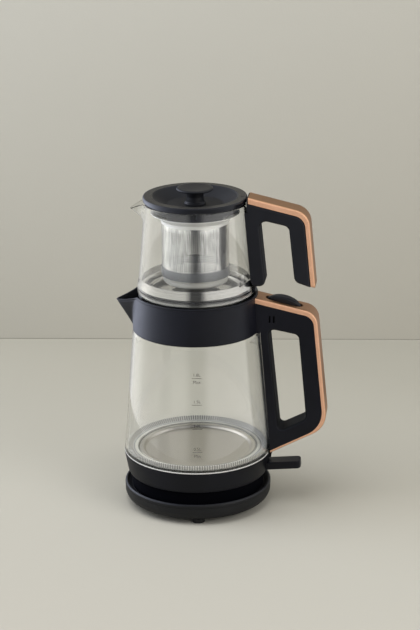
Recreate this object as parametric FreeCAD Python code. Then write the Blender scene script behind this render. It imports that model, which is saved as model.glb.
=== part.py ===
import FreeCAD, Part
import math
import os

# Two-tier electric tea maker: power base, glass kettle, glass teapot with strainer and lid.
# Everything is drawn about the kettle's axis (u towards the handle, z up from the table)
# and moved at the end, so that the origin is the middle of the footprint. Millimetres.

V = FreeCAD.Vector

# ---- driving dimensions -------------------------------------------------------------
base_radius = 80.2          # widest part of the power base
base_rim_z = 24.3
base_split_z = 20.0         # parting line between bottom cover and top shell
dish_floor_z = 19.5         # the kettle's skirt stands here
foot_height = 5.0
foot_circle = 66.0
foot_radius = 7.0
foot_angles = [-82.5, 7.5, 97.5, 187.5]
hub_radius = 16.5
hub_top_z = 33.0
gland_z = 12.3
cord_hole_radius = 3.5

collar_low_z = 36.5         # bottom edge of the kettle's lower collar
glass_low_z = 60.0
glass_low_radius = 80.0
glass_high_z = 199.2
glass_high_radius = 68.5
glass_wall = 3.0
neck_radius = 66.0
neck_top_z = 214.0
collar_top_z = 240.0
collar_top_radius = 66.6
pot_ledge_z = 236.0         # the teapot stands here
lid_ledge_z = 226.0         # the steam lid lies here
plate_radius = 64.4

kettle_handle_width = 29.0
teapot_handle_width = 25.5

pot_low_z = 243.9
pot_low_radius = 62.8
pot_rim_z = 339.2
pot_rim_radius = 54.0
pot_wall = 2.3
pan_radius = 60.1
pan_floor_z = 244.4
strainer_radius = 36.0
strainer_low_z = 252.0

lid_radius = 55.5
lid_low_z = 340.9
lid_top_z = 345.8
lid_floor_z = 337.0
knob_radius = 19.7
knob_top_z = 354.7

lever_pin_u, lever_pin_z = 64.0, 42.0
lever_tilt = 5.0
lever_length = 50.0
lever_width = 18.0
lever_thickness = 8.5

button_length, button_width = 40.0, 13.0
button_travel = 3.0
running_gap = 0.05

spout_reach = 87.0
footprint_shift = -27.0     # puts the middle of the footprint at the origin

# ---- small makers -------------------------------------------------------------------


def corner_path(points, to_3d):
    """A closed wire through (a, b, radius) corners, each rounded by an arc of that radius."""
    corners = [(p[0], p[1], p[2] if len(p) > 2 else 0.0) for p in points]
    count = len(corners)
    stops = []
    for i, (a, b, radius) in enumerate(corners):
        before, after = corners[i - 1], corners[(i + 1) % count]
        ia, ib = before[0] - a, before[1] - b
        oa, ob = after[0] - a, after[1] - b
        li, lo = math.hypot(ia, ib), math.hypot(oa, ob)
        ia, ib, oa, ob = ia / li, ib / li, oa / lo, ob / lo
        half = math.acos(max(-1.0, min(1.0, ia * oa + ib * ob))) / 2
        if radius <= 0 or half > math.pi / 2 - 1e-4:
            stops.append([(a, b)])
            continue
        cut = min(radius / math.tan(half), 0.499 * li, 0.499 * lo)
        true_radius = cut * math.tan(half)
        ma, mb = ia + oa, ib + ob
        lm = math.hypot(ma, mb)
        reach = true_radius / math.sin(half) - true_radius
        stops.append([
            (a + ia * cut, b + ib * cut),
            (a + ma / lm * reach, b + mb / lm * reach),
            (a + oa * cut, b + ob * cut),
        ])
    edges = []
    for i, stop in enumerate(stops):
        following = stops[(i + 1) % count]
        if len(stop) == 3:
            edges.append(Part.Arc(to_3d(*stop[0]), to_3d(*stop[1]), to_3d(*stop[2])).toShape())
        start, end = to_3d(*stop[-1]), to_3d(*following[0])
        if (end - start).Length > 1e-6:
            edges.append(Part.LineSegment(start, end).toShape())
    return Part.Wire(Part.__sortEdges__(edges))


def turned(points):
    """A solid of revolution about Z from a closed (radius, z, corner radius) outline."""
    wire = corner_path(points, lambda a, b: V(a, 0, b))
    return Part.Face(wire).revolve(V(0, 0, 0), V(0, 0, 1), 360)


def upright(points, width, middle=0.0):
    """A plate parallel to XZ with a (u, z, corner radius) outline, centred on y = middle."""
    wire = corner_path(points, lambda a, b: V(a, middle - width / 2, b))
    return Part.Face(wire).extrude(V(0, width, 0))


def flat(points, z_low, z_high):
    """A plate parallel to XY with an (x, y, corner radius) outline."""
    wire = corner_path(points, lambda a, b: V(a, b, z_low))
    return Part.Face(wire).extrude(V(0, 0, z_high - z_low))


def ring(inner, outer, z_low, z_high):
    body = Part.makeCylinder(outer, z_high - z_low, V(0, 0, z_low))
    return body.cut(Part.makeCylinder(inner, z_high - z_low, V(0, 0, z_low)))


def rod(radius, start, end):
    return Part.makeCylinder(radius, (end - start).Length, start, end - start)


def block(x_low, x_high, y_low, y_high, z_low, z_high):
    return Part.makeBox(x_high - x_low, y_high - y_low, z_high - z_low, V(x_low, y_low, z_low))


def around(angles, shape):
    """Copies of a shape turned about the axis to each angle in degrees."""
    copies = []
    for angle in angles:
        copy = shape.copy()
        copy.rotate(V(0, 0, 0), V(0, 0, 1), angle)
        copies.append(copy)
    return copies


def cut_all(shape, tools):
    for tool in tools:
        shape = shape.cut(tool)
    return shape


def fuse_all(shapes):
    whole = shapes[0]
    for other in shapes[1:]:
        whole = whole.fuse(other)
    return whole.removeSplitter()


def tapered_prism(low, high):
    """A ruled solid between two closed loops of as many points."""
    loops = [Part.makePolygon([V(*p) for p in loop + loop[:1]]) for loop in (low, high)]
    return Part.makeLoft(loops, True, True)


# ---- power base ---------------------------------------------------------------------

screw_shank = 1.15
pilot_hole = 1.2
base_screw_circle = 56.0
base_screw_angles = [a + 45.0 for a in foot_angles]
base_floor_z = 6.2
shell_under_z = 17.3


def base_outline():
    return [(0, 4.0), (69.0, 4.0, 7), (77.6, 7.4, 8), (79.9, 13.0, 6), (base_radius, base_split_z)]


def base_bottom_cover():
    inside = [(78.0, base_split_z), (77.7, 13.4, 5), (75.6, 9.2, 6), (68.5, base_floor_z, 5), (0, base_floor_z)]
    shell = turned(base_outline() + inside)
    recess = Part.makeCylinder(foot_radius, 1.0, V(foot_circle, 0, 4.0))
    head_seat = Part.makeCylinder(3.0, 1.6, V(base_screw_circle, 0, 4.0))
    hole = Part.makeCylinder(1.3, 4.0, V(base_screw_circle, 0, 4.0))
    gland_hole = rod(4.9, V(0, 60, gland_z), V(0, 90, gland_z))
    shell = cut_all(shell, around(foot_angles, recess))
    shell = cut_all(shell, around(base_screw_angles, head_seat) + around(base_screw_angles, hole))
    return shell.cut(gland_hole)


def base_feet():
    foot = Part.makeCylinder(foot_radius, foot_height, V(foot_circle, 0, 0))
    return Part.makeCompound(around(foot_angles, foot))


def base_top_shell():
    shell = turned([
        (17.2, dish_floor_z), (72.8, dish_floor_z, 1.5), (76.0, 21.8, 2), (77.9, base_rim_z, 0.6),
        (79.4, base_rim_z, 1.0), (base_radius, 22.6, 1.2), (base_radius, base_split_z + 0.25),
        (77.6, base_split_z + 0.25), (77.6, 16.5), (75.8, 16.5), (75.8, 19.3),
        (72.2, shell_under_z, 1), (17.2, shell_under_z),
    ])
    post = Part.makeCylinder(3.5, shell_under_z - base_floor_z, V(base_screw_circle, 0, base_floor_z))
    pilot = Part.makeCylinder(pilot_hole, 9.0, V(base_screw_circle, 0, base_floor_z))
    shell = fuse_all([shell] + around(base_screw_angles, post))
    shell = cut_all(shell, around(base_screw_angles, pilot))
    gland_room = [block(-7, 7, 70, 78, 16.4, 18.0), block(-4.5, 4.5, 63.5, 66.9, 16.4, 18.5)]
    return cut_all(shell, gland_room)


def base_screws():
    head = Part.makeCylinder(2.8, 1.4, V(base_screw_circle, 0, 4.1))
    shank = Part.makeCylinder(screw_shank, 9.0, V(base_screw_circle, 0, 5.4))
    return Part.makeCompound(around(base_screw_angles, head.fuse(shank).removeSplitter()))


contact_floor_z = 20.0
contact_radii = {"centre": (2.4, 3.3, 0.0), "outer": (9.0, 9.8, 9.4), "inner": (6.4, 7.2, -6.8)}


def base_socket():
    hub = turned([
        (0, 14.5), (22, 14.5, 0.5), (22, shell_under_z), (hub_radius, shell_under_z),
        (hub_radius, hub_top_z, 2.5), (0, hub_top_z),
    ])
    depth = hub_top_z - contact_floor_z
    hub = hub.cut(Part.makeCylinder(contact_radii["centre"][1], depth, V(0, 0, contact_floor_z)))
    hub = hub.cut(ring(contact_radii["inner"][0], contact_radii["outer"][1], contact_floor_z, hub_top_z))
    tails = [Part.makeCylinder(1.0, 8.0, V(x, 0, 13.0)) for _, _, x in contact_radii.values()]
    return cut_all(hub, tails)


def base_contacts():
    made = []
    for inner, outer, tail_x in contact_radii.values():
        sleeve = ring(inner, outer, contact_floor_z, 29.5)
        foot = ring(inner, outer, contact_floor_z, contact_floor_z + 0.4)
        tail = Part.makeCylinder(1.0, 11.4, V(tail_x, 0, 9.0))
        washer = Part.makeCylinder(1.0, 0.4, V(tail_x, 0, contact_floor_z))
        if tail_x == 0.0:
            foot = Part.makeCylinder(outer, 0.4, V(0, 0, contact_floor_z))
        made.append(fuse_all([sleeve, foot, tail, washer]))
    return Part.makeCompound(made)


def terminal_block():
    body = flat([(-16, -7, 1), (16, -7, 1), (16, 7, 1), (-16, 7, 1)], base_floor_z, 12.5)
    return cut_all(body, [Part.makeCylinder(1.0, 4.0, V(x, 0, 9.0)) for _, _, x in contact_radii.values()])


def cord_gland():
    bush = rod(4.9, V(0, 64, gland_z), V(0, 79.4, gland_z))
    flange = rod(6.0, V(0, 64, gland_z), V(0, 66.4, gland_z))
    body = bush.fuse(flange).removeSplitter()
    return body.cut(rod(cord_hole_radius, V(0, 60, gland_z), V(0, 90, gland_z)))


# ---- kettle: bottom -----------------------------------------------------------------

cover_low_z, cover_high_z = 27.0, 29.2
bottom_screw_circle = 65.5
bottom_screw_angles = [60.0, 180.0, 300.0]
collar_ledge_z = 58.2


def kettle_bottom_cover():
    cover = turned([
        (19.0, cover_low_z), (69.8, cover_low_z), (69.8, dish_floor_z), (72.0, dish_floor_z, 0.8),
        (72.0, collar_low_z), (69.8, collar_low_z), (69.8, cover_high_z), (19.0, cover_high_z),
    ])
    head_seat = Part.makeCylinder(3.0, 1.4, V(bottom_screw_circle, 0, cover_low_z))
    hole = Part.makeCylinder(1.3, 4.0, V(bottom_screw_circle, 0, cover_low_z))
    cover = cut_all(cover, around(bottom_screw_angles, head_seat) + around(bottom_screw_angles, hole))
    for side in (-1, 1):
        lug = upright([
            (59.0, cover_high_z - 0.5), (69.0, cover_high_z - 0.5), (69.0, 33.0, 2), (68.0, 46.0, 3.5), (60.0, 46.0, 3.5),
        ], 2.8, side * 11.0)
        cover = cover.fuse(lug)
    pin_hole = rod(1.5, V(lever_pin_u, -20, lever_pin_z), V(lever_pin_u, 20, lever_pin_z))
    return cover.cut(pin_hole).removeSplitter()


def lower_collar():
    collar = turned([
        (70.0, collar_low_z), (75.5, collar_low_z, 1.2), (76.7, 39.5, 6), (glass_low_radius, 58.0, 2),
        (glass_low_radius, glass_low_z), (78.7, glass_low_z), (78.7, collar_ledge_z), (67.8, collar_ledge_z),
        (67.8, 57.4), (65.2, 57.4), (65.2, 55.4), (77.2, 55.4), (74.7, 38.7), (70.0, 38.7),
    ])
    post = Part.makeCylinder(3.5, 56.0 - cover_high_z, V(bottom_screw_circle, 0, cover_high_z))
    pilot = Part.makeCylinder(pilot_hole, 12.0, V(bottom_screw_circle, 0, cover_high_z))
    collar = fuse_all([collar] + around(bottom_screw_angles, post))
    collar = cut_all(collar, around(bottom_screw_angles, pilot))
    lever_window = block(69.0, 90.0, -lever_width / 2 - 0.8, lever_width / 2 + 0.8, 30.0, 49.2)
    tongue_pocket = block(78.2, 90.0, -7.2, 7.2, 53.3, 61.0)
    return cut_all(collar, [lever_window, tongue_pocket])


def bottom_screws():
    head = Part.makeCylinder(2.8, 1.3, V(bottom_screw_circle, 0, 27.1))
    shank = Part.makeCylinder(screw_shank, 10.0, V(bottom_screw_circle, 0, 28.4))
    return Part.makeCompound(around(bottom_screw_angles, head.fuse(shank).removeSplitter()))


def kettle_connector():
    return turned([
        (17.3, 24.0, 0.5), (19.0, 24.0, 0.5), (19.0, cover_high_z), (24.5, cover_high_z), (24.5, 31.4, 0.5),
        (19.0, 31.4), (19.0, 36.0), (0, 36.0), (0, 34.2), (17.3, 34.2),
    ])


def connector_pins():
    pin = Part.makeCylinder(2.0, 9.5, V(0, 0, 24.7))
    sleeve = ring(7.7, 8.5, 24.7, 34.2)
    return Part.makeCompound([pin, sleeve])


def control_unit():
    body = turned([
        (0, 36.0), (25.0, 36.0, 1.5), (25.0, 48.0, 1.5), (14.0, 48.0), (14.0, 54.9), (11.0, 54.9), (11.0, 48.0), (0, 48.0),
    ])
    return body.cut(block(20.0, 30.0, -6.0, 6.0, 35.0, 50.0))


def bimetal_disc():
    return turned([(0, 55.0), (6.0, 54.9), (13.5, 54.9), (13.5, 55.6), (0, 55.6)])


spreader_low_z, plate_under_z, plate_top_z = 55.6, 59.4, 60.2
element_circle, element_radius = 42.0, 3.5
element_z = spreader_low_z - element_radius
element_open_angle = 35.0


def heat_spreader():
    return turned([(0, spreader_low_z), (52.0, spreader_low_z, 0.8), (52.0, plate_under_z), (0, plate_under_z)])


def heating_element():
    sweep = 360 - 2 * element_open_angle
    tube = Part.makeTorus(element_circle, element_radius, V(0, 0, element_z), V(0, 0, 1), -180, 180, sweep)
    tube.rotate(V(0, 0, 0), V(0, 0, 1), element_open_angle)
    return tube


def element_terminals():
    pins = []
    for side in (-1, 1):
        angle = math.radians(side * (element_open_angle - 3.0))
        foot = V(element_circle * math.cos(angle), element_circle * math.sin(angle), 36.0)
        head = V(foot.x, foot.y, element_z + 1.0)
        tab_angle = math.radians(side * element_open_angle)
        tube_end = V(element_circle * math.cos(tab_angle), element_circle * math.sin(tab_angle), element_z)
        stub = rod(1.3, V(foot.x, foot.y, element_z), tube_end)
        pins.append(rod(1.3, foot, head).fuse(stub).removeSplitter())
    return Part.makeCompound(pins)


def heating_plate():
    return turned([
        (0, plate_top_z), (57.0, plate_top_z, 1.5), (58.8, 62.6, 1.2), (60.4, 63.2, 1), (63.2, 63.2, 1),
        (plate_radius, 62.2, 0.8), (plate_radius, 57.0), (63.6, 57.0), (63.6, 61.9, 0.4), (62.9, 62.4, 0.4),
        (60.6, 62.4, 0.6), (59.4, 61.9, 0.6), (57.6, plate_under_z, 1), (0, plate_under_z),
    ])


glass_floor_z = 62.8
seal_lip_z = 68.0


def plate_seal():
    return turned([
        (64.5, 57.4), (67.7, 57.4), (67.7, glass_floor_z), (75.2, glass_floor_z), (76.2, 63.8), (76.0, seal_lip_z - 0.4, 0.3),
        (75.2, seal_lip_z, 0.3), (70.6, 63.9, 0.8), (64.5, 63.9, 0.4),
    ])


def glass_gasket():
    return ring(67.9, 78.6, collar_ledge_z, glass_low_z)


def kettle_glass():
    return turned([
        (67.8, glass_low_z, 0.6), (glass_low_radius, glass_low_z, 1.4), (68.75, 196.5, 6), (neck_radius, 201.0, 5),
        (neck_radius, neck_top_z, 1.3), (neck_radius - glass_wall, neck_top_z, 1.3),
        (neck_radius - glass_wall, 200.2, 5), (65.75, 195.6, 6), (76.8, glass_floor_z, 1.2), (67.8, glass_floor_z, 0.6),
    ])


def switch_lever():
    half = lever_width / 2
    plate = flat([
        (0, -half), (lever_length, -half, 4.5), (lever_length, half, 4.5), (0, half),
    ], -lever_thickness / 2, lever_thickness / 2)
    rim = [e for e in plate.Edges if e.BoundBox.ZLength < 1e-6]
    plate = plate.makeFillet(1.2, [e for e in rim if e.BoundBox.XMax > 1.0])
    barrel = rod(lever_thickness / 2, V(0, -half, 0), V(0, half, 0))
    tail = block(-13.0, 0, -4.0, 4.0, -1.5, 2.5)
    lever = fuse_all([plate, barrel, tail])
    lever = lever.cut(rod(1.5 + running_gap, V(0, -20, 0), V(0, 20, 0)))
    lever.rotate(V(0, 0, 0), V(0, 1, 0), -lever_tilt)
    lever.translate(V(lever_pin_u, 0, lever_pin_z))
    return lever


def lever_pin():
    return rod(1.5, V(lever_pin_u, -12.6, lever_pin_z), V(lever_pin_u, 12.6, lever_pin_z))


# ---- kettle: upper collar with its spout --------------------------------------------

latch_low_z, latch_high_z = 226.3, 228.6
handle_screw_z, handle_screw_y = 218.8, 9.0


def beak_loop(x_root, half_root, x_tip, half_tip, z_root, z_tip):
    return [(x_root, half_root, z_root), (x_tip, half_tip, z_tip), (x_tip, -half_tip, z_tip), (x_root, -half_root, z_root)]


def kettle_beak():
    low = beak_loop(-60.0, 7.0, -70.6, 0.8, 199.6, 199.6)
    high = beak_loop(-54.0, 35.2, -spout_reach, 2.4, 242.4, 228.6)
    return tapered_prism(low, high).cut(block(-100, 0, -50, 50, 239.5, 250))


def kettle_beak_channel():
    low = beak_loop(-48.0, 10.4, -76.6, 0.5, 217.2, 217.2)
    high = beak_loop(-48.0, 47.5, -88.5, 1.0, 254.4, 233.5)
    return tapered_prism(low, high)


def collar_core():
    """The upper collar's outer form, filled, for trimming what is fixed to it."""
    return turned([
        (0, 190.0), (glass_high_radius, 190.0), (glass_high_radius, glass_high_z), (collar_top_radius, collar_top_z),
        (collar_top_radius, 250.0), (0, 250.0),
    ])


def upper_collar():
    collar = turned([
        (neck_radius + 0.3, 202.4), (67.9, glass_high_z), (glass_high_radius, glass_high_z, 0.2),
        (collar_top_radius, collar_top_z, 1.0), (64.7, collar_top_z, 0.6), (63.0, pot_ledge_z),
        (57.5, pot_ledge_z), (57.5, lid_ledge_z),
        (54.0, lid_ledge_z), (54.0, 222.3, 1.0), (62.5, 219.2), (62.5, 215.6), (neck_radius + 0.3, 215.6),
    ])
    collar = collar.fuse(kettle_beak().cut(turned([
        (0, 190), (neck_radius + 0.3, 190), (neck_radius + 0.3, 215.6), (62.5, 216.0), (62.5, 245), (0, 245)])))
    collar = collar.cut(kettle_beak_channel()).removeSplitter()
    latch_way = block(50, 72, -4.4, 4.4, lid_ledge_z + 0.05, 228.9)
    collar = collar.cut(latch_way)
    for side in (-1, 1):
        y = side * handle_screw_y
        collar = collar.cut(rod(1.3, V(55, y, handle_screw_z), V(75, y, handle_screw_z)))
        collar = collar.cut(rod(2.9, V(55, y, handle_screw_z), V(63.0, y, handle_screw_z)))
    return collar


def collar_seal():
    return ring(neck_radius - glass_wall, neck_radius + 0.1, neck_top_z, 215.6)


# ---- kettle: handle -----------------------------------------------------------------

# Straight runs of the handle's outline, as (u, z) on the run and its slope.
top_run = (67.2, 231.9, -0.228)          # z falls along u
back_run = (129.6, 193.1, 0.0954)        # u grows as z falls
foot_run = (81.8, 64.4, 0.517)           # z grows along u
trim_top, trim_back, trim_foot = 5.6, 4.02, 2.9   # trim outside those runs, along z, u and z
corner_top, corner_foot = 13.0, 28.0


def meet(flat_run, steep_run):
    """Where a run given as z(u) meets one given as u(z)."""
    u = steep_run[0]
    for _ in range(30):
        z = flat_run[1] + flat_run[2] * (u - flat_run[0])
        u = steep_run[0] + steep_run[2] * (steep_run[1] - z)
    return u, z


def along(run, u):
    return run[1] + run[2] * (u - run[0])


def kettle_outline(extra_top=0.0, extra_back=0.0, extra_foot=0.0):
    """The handle's outer outline, grown by the trim's thickness where one is given."""
    top = (top_run[0], top_run[1] + extra_top, top_run[2])
    back = (back_run[0] + extra_back, back_run[1], back_run[2])
    foot = (foot_run[0], foot_run[1] - extra_foot, foot_run[2])
    grown = max(extra_back, 0.0)
    foot_tip = 81.4
    return [
        (58.0, along(top, 58.0)),
        meet(top, back) + (corner_top + grown,),
        meet(foot, back) + (corner_foot - 0.8 * grown,),
        (foot_tip, along(foot, foot_tip)),
        (foot_tip, along(foot_run, foot_tip) + 1.2),
        (70.6, glass_high_z + 0.3),
        (58.0, glass_high_z + 0.3),
    ]


grip_hole = [(79.1, 204.0, 6.0), (111.7, 197.6, 6.5), (120.2, 101.9, 7.5), (90.6, 87.2, 4.5)]
grip_cavity = [(115.6, 209.0, 4), (131.0, 209.0), (141.0, 106.0), (125.0, 106.0, 4)]
button_centre_u = 95.2
trim_slope = math.degrees(math.atan(-top_run[2]))


def on_trim(shape):
    """Puts a shape drawn about the origin on the trim's sloping top, at the button's centre."""
    moved = shape.copy()
    moved.rotate(V(0, 0, 0), V(0, 1, 0), trim_slope)
    top = top_run[1] + trim_top
    moved.translate(V(button_centre_u, 0, top + top_run[2] * (button_centre_u - top_run[0])))
    return moved


def oval(length, width, low, high):
    half, side, round_end = length / 2, width / 2, width / 2 - 0.01
    corners = [(-half, -side, round_end), (half, -side, round_end), (half, side, round_end), (-half, side, round_end)]
    return flat(corners, low, high)


pocket_depth = 14.0
button_skirt = 5.0
dome_height, dome_radius = 5.9, 38.0


def button_pocket():
    return on_trim(oval(button_length + 0.8, button_width + 0.8, -pocket_depth, 4.0))


slot_width = 1.9
slot_depth = 3.6


def kettle_handle():
    half = kettle_handle_width / 2
    body = upright(kettle_outline(), kettle_handle_width)
    body = body.cut(upright(grip_hole, kettle_handle_width + 2))
    inner = [e for e in body.Edges if e.BoundBox.YLength < 1e-6 and in_hole(e) and abs(abs(e.BoundBox.YMin) - half) < 1e-6]
    body = body.makeFillet(2.6, inner)
    body = body.cut(collar_core())
    tongue = upright([(78.75, 53.5, 0.5), (81.7, 53.5, 1.2), (81.7, 74.0), (79.9, 74.0), (80.3, 60.05), (78.75, 60.05)], 14.0)
    body = body.fuse(tongue).cut(turned([(0, 60.0), (80.25, 60.0), (78.0, 90.0), (0, 90.0)]))
    body = body.cut(upright(grip_cavity, kettle_handle_width - 6.0))
    body = body.cut(button_pocket())
    body = body.cut(block(60, 76, -4.4, 4.4, lid_ledge_z + 0.05, 228.9))
    body = body.cut(steam_way(2.25))
    for side in (-1, 1):
        y = side * handle_screw_y
        body = body.cut(rod(pilot_hole, V(60, y, handle_screw_z), V(76.5, y, handle_screw_z)))
        for slot_u in (80.7, 85.2):
            low, high = sorted((side * (half + 1.0), side * (half - slot_depth)))
            body = body.cut(block(slot_u - slot_width / 2, slot_u + slot_width / 2, low, high, 211.0, 218.6))
    return body.removeSplitter()


def in_hole(edge):
    box = edge.BoundBox
    return box.XMin > 78.0 and box.XMax < 121.0 and box.ZMin > 86.0 and box.ZMax < 205.0


def kettle_handle_trim():
    outer = upright(kettle_outline(trim_top, trim_back, trim_foot), kettle_handle_width)
    edges = [e for e in outer.Edges if e.BoundBox.YLength < 1e-6 and outer_run(e)]
    outer = outer.makeFillet(1.9, edges)
    band = outer.cut(upright(kettle_outline(), kettle_handle_width + 2))
    band = band.cut(collar_core())
    band = band.cut(turned([(0, 40.0), (82.2, 40.0), (82.2, 70.0), (0, 70.0)]))
    return band.cut(button_pocket()).removeSplitter()


def outer_run(edge):
    """Is an edge on the trim's outer outline, the one that a hand feels?"""
    box = edge.BoundBox
    return box.XMax > 82.0 and box.XLength + box.ZLength > 2.0


def steam_way(radius):
    return rod(radius, V(75.2, 0, 206.0), V(86.6, 0, 74.5))


def steam_tube():
    tube = rod(2.2, V(75.4, 0, 204.0), V(86.45, 0, 76.0))
    return tube.cut(rod(1.5, V(75.0, 0, 208.6), V(86.9, 0, 70.8)))


def handle_screws():
    made = []
    for side in (-1, 1):
        y = side * handle_screw_y
        head = rod(2.7, V(61.6, y, handle_screw_z), V(63.0, y, handle_screw_z))
        shank = rod(screw_shank, V(62.9, y, handle_screw_z), V(76.0, y, handle_screw_z))
        made.append(head.fuse(shank).removeSplitter())
    return Part.makeCompound(made)


def lid_button():
    cap = oval(button_length, button_width, -button_skirt, dome_height + 1.0)
    dome = Part.makeCylinder(dome_radius, button_width + 2, V(0, -button_width / 2 - 1, dome_height - dome_radius), V(0, 1, 0))
    cap = cap.common(dome)
    top = [e for e in cap.Edges if e.BoundBox.ZMin > -1.0 and e.BoundBox.XLength > 1.0]
    cap = cap.makeFillet(2.2, top)
    relief = block(-button_length / 2 - 1, -11.0, -button_width, button_width, -button_skirt - 1, -1.2)
    return on_trim(cap.cut(relief))


spring_radius, spring_wire = 3.0, 0.5


def button_spring():
    low, high = -pocket_depth + spring_wire, -button_skirt - spring_wire
    helix = Part.makeHelix(1.6, high - low, spring_radius)
    profile = Part.Wire(Part.makeCircle(spring_wire, V(spring_radius, 0, 0), V(0, 1, 0)))
    coil = Part.Wire(helix.Edges).makePipeShell([profile], True, True)
    coil.translate(V(0, 0, low))
    return on_trim(coil)


def lid_latch():
    return block(57.9, 78.2, -4.0, 4.0, latch_low_z, latch_high_z)


# ---- steam lid ----------------------------------------------------------------------


def steam_lid():
    disc = turned([
        (0, 226.4), (46.5, 226.4, 1), (48.5, 228.7, 1), (57.1, 228.7, 0.5), (57.1, lid_ledge_z),
        (51.8, lid_ledge_z), (51.8, 223.0), (49.8, 223.0), (49.8, 224.4), (0, 224.4),
    ])
    vent = Part.makeCylinder(3.2, 6.0, V(32.0, 0, 222.0))
    return cut_all(disc, around([30.0 * i for i in range(12)], vent))


def steam_lid_seal():
    return ring(51.8, 53.7, 223.0, lid_ledge_z)


def steam_lid_grip():
    return upright([(-14, 226.4), (14, 226.4), (11.0, 236.5, 3), (-11.0, 236.5, 3)], 5.0)


# ---- teapot -------------------------------------------------------------------------


def pot_beak_loops(grow):
    """Low and high loops of the teapot's poured lip, pulled in by the wall for the inside."""
    low = beak_loop(-46.0, 7.0 - grow, -57.0 + grow, 0.9, 315.5 + grow, 315.5 + grow)
    high = beak_loop(-44.0, 22.0 - grow, -70.4 + 0.8 * grow, 2.2 - 0.5 * grow, pot_rim_z + 0.6 * grow, 330.2 + 0.5 * grow)
    return low, high


def pot_outline(inset):
    return [
        (0, pot_low_z - inset), (pot_low_radius - inset, pot_low_z - inset, 1.2), (pot_low_radius - inset, 249.5, 3),
        (60.9 - inset, 257.0, 4), (pot_rim_radius - inset, pot_rim_z + inset), (0, pot_rim_z + inset),
    ]


def teapot_glass():
    outside = turned(pot_outline(0.0))
    outside = outside.fuse(tapered_prism(*pot_beak_loops(0.0)))
    inside = turned([
        (0, pot_low_z - 1), (60.5, pot_low_z - 1), (60.5, 249.0, 3), (60.9 - pot_wall, 257.5, 4),
        (pot_rim_radius - pot_wall, pot_rim_z + 1), (0, pot_rim_z + 1),
    ])
    lip = tapered_prism(*pot_beak_loops(1.6))
    return outside.cut(inside).cut(lip).removeSplitter()


def teapot_base_pan():
    return turned([
        (0, pan_floor_z), (47.5, pan_floor_z, 1), (49.5, 246.7, 1), (57.0, 246.9, 1.5), (59.3, 249.0, 1),
        (57.5, 256.9), (58.3, 256.9), (pan_radius, 248.8, 1), (pan_radius, 247.6, 0.5), (58.6, 246.1), (50.1, 245.9, 0.6),
        (48.1, pan_floor_z - 0.8, 0.6), (0, pan_floor_z - 0.8),
    ])


def pan_seal():
    return turned([(58.7, pot_low_z), (60.4, pot_low_z), (60.4, 247.3), (58.7, 246.0)])


def teapot_foot_ring():
    return turned([
        (57.8, pot_ledge_z, 0.5), (61.8, pot_ledge_z, 1.0), (61.8, pot_low_z - 0.1), (58.5, pot_low_z - 0.1),
        (58.5, 246.0), (57.8, 246.0),
    ])


pot_top_run = (58.2, 341.2, -0.2409)
pot_back_run = (120.0, 298.1, 0.0929)
pot_trim_top, pot_trim_back = 6.4, 4.9
pot_grip_low = 250.4


def pot_handle_outline(extra_top=0.0, extra_back=0.0):
    top = (pot_top_run[0], pot_top_run[1] + extra_top, pot_top_run[2])
    back = (pot_back_run[0] + extra_back, pot_back_run[1], pot_back_run[2])
    back_low = back[0] + back[2] * (back[1] - pot_grip_low)
    return [
        (57.4, along(top, 57.4)),
        meet(top, back) + (14.0 + extra_back,),
        (back_low, pot_grip_low, 1.2),
        (106.9, 256.4, 8.0),
        (100.6, 316.8, 7.0),
        (68.9, 323.9, 7.0),
        (76.3, 250.4, 6.5),
        (60.0, 250.4),
        (54.0, 270.0),
        (54.0, 331.0),
        (57.4, 331.0),
    ]


def pot_skin(gap):
    """The teapot's outside, grown by a gap, for whatever hugs the glass."""
    return turned([
        (0, 236.0), (pot_low_radius + gap + 1.0, 236.0), (pot_low_radius + gap + 1.0, 250.9), (60.9 + gap, 257.0, 4),
        (pot_rim_radius + gap, pot_rim_z), (0, pot_rim_z),
    ])


def teapot_handle():
    half = teapot_handle_width / 2
    body = upright(pot_handle_outline(), teapot_handle_width)
    inner = [e for e in body.Edges if e.BoundBox.YLength < 1e-6 and pot_inner(e) and abs(abs(e.BoundBox.YMin) - half) < 1e-6]
    body = body.makeFillet(2.4, inner)
    end_piece = upright([(56.0, 332.0, 0.4), (57.6, 332.0), (57.6, 346.9, 0.6), (56.0, 346.4, 0.6)], teapot_handle_width)
    cavity = upright([(105.4, 311.0, 3), (126.0, 311.0), (131.0, 262.0), (110.0, 262.0, 3)], teapot_handle_width - 5.2)
    body = fuse_all([body.cut(pot_skin(0.5)), end_piece])
    return body.cut(cavity).removeSplitter()


def pot_inner(edge):
    """Is an edge on the side that the fingers go through, from the inner leg's foot to the grip's?"""
    box = edge.BoundBox
    return box.XMin > 67.0 and box.XMax < 113.0 and box.ZMax < 325.0 and box.XLength + box.ZLength > 1.0


def teapot_handle_trim():
    outer = upright(pot_handle_outline(pot_trim_top, pot_trim_back)[:3] + [(100.0, 256.4), (100.0, 300.0), (57.6, 320.0)],
                    teapot_handle_width)
    edges = [e for e in outer.Edges if e.BoundBox.YLength < 1e-6 and (e.BoundBox.ZMin > 333.0 or e.BoundBox.XMin > 112.0)]
    outer = outer.makeFillet(2.2, edges)
    core = upright(pot_handle_outline()[:2] + [(pot_back_run[0] + pot_back_run[2] * (pot_back_run[1] - 240.0), 240.0), (57.4, 240.0)],
                   teapot_handle_width + 2)
    band = outer.cut(core)
    return band.cut(block(50, 57.65, -20, 20, 320, 360)).removeSplitter()


def handle_pads():
    """Two adhesive pads between the glass and the handle's inner leg."""
    made = []
    for low, high in ((262.0, 278.0), (312.0, 328.0)):
        pad = block(50.0, 64.0, -8.0, 8.0, low, high)
        made.append(pad.common(pot_skin(0.45)).cut(pot_skin(0.05)))
    return Part.makeCompound(made)


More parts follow.
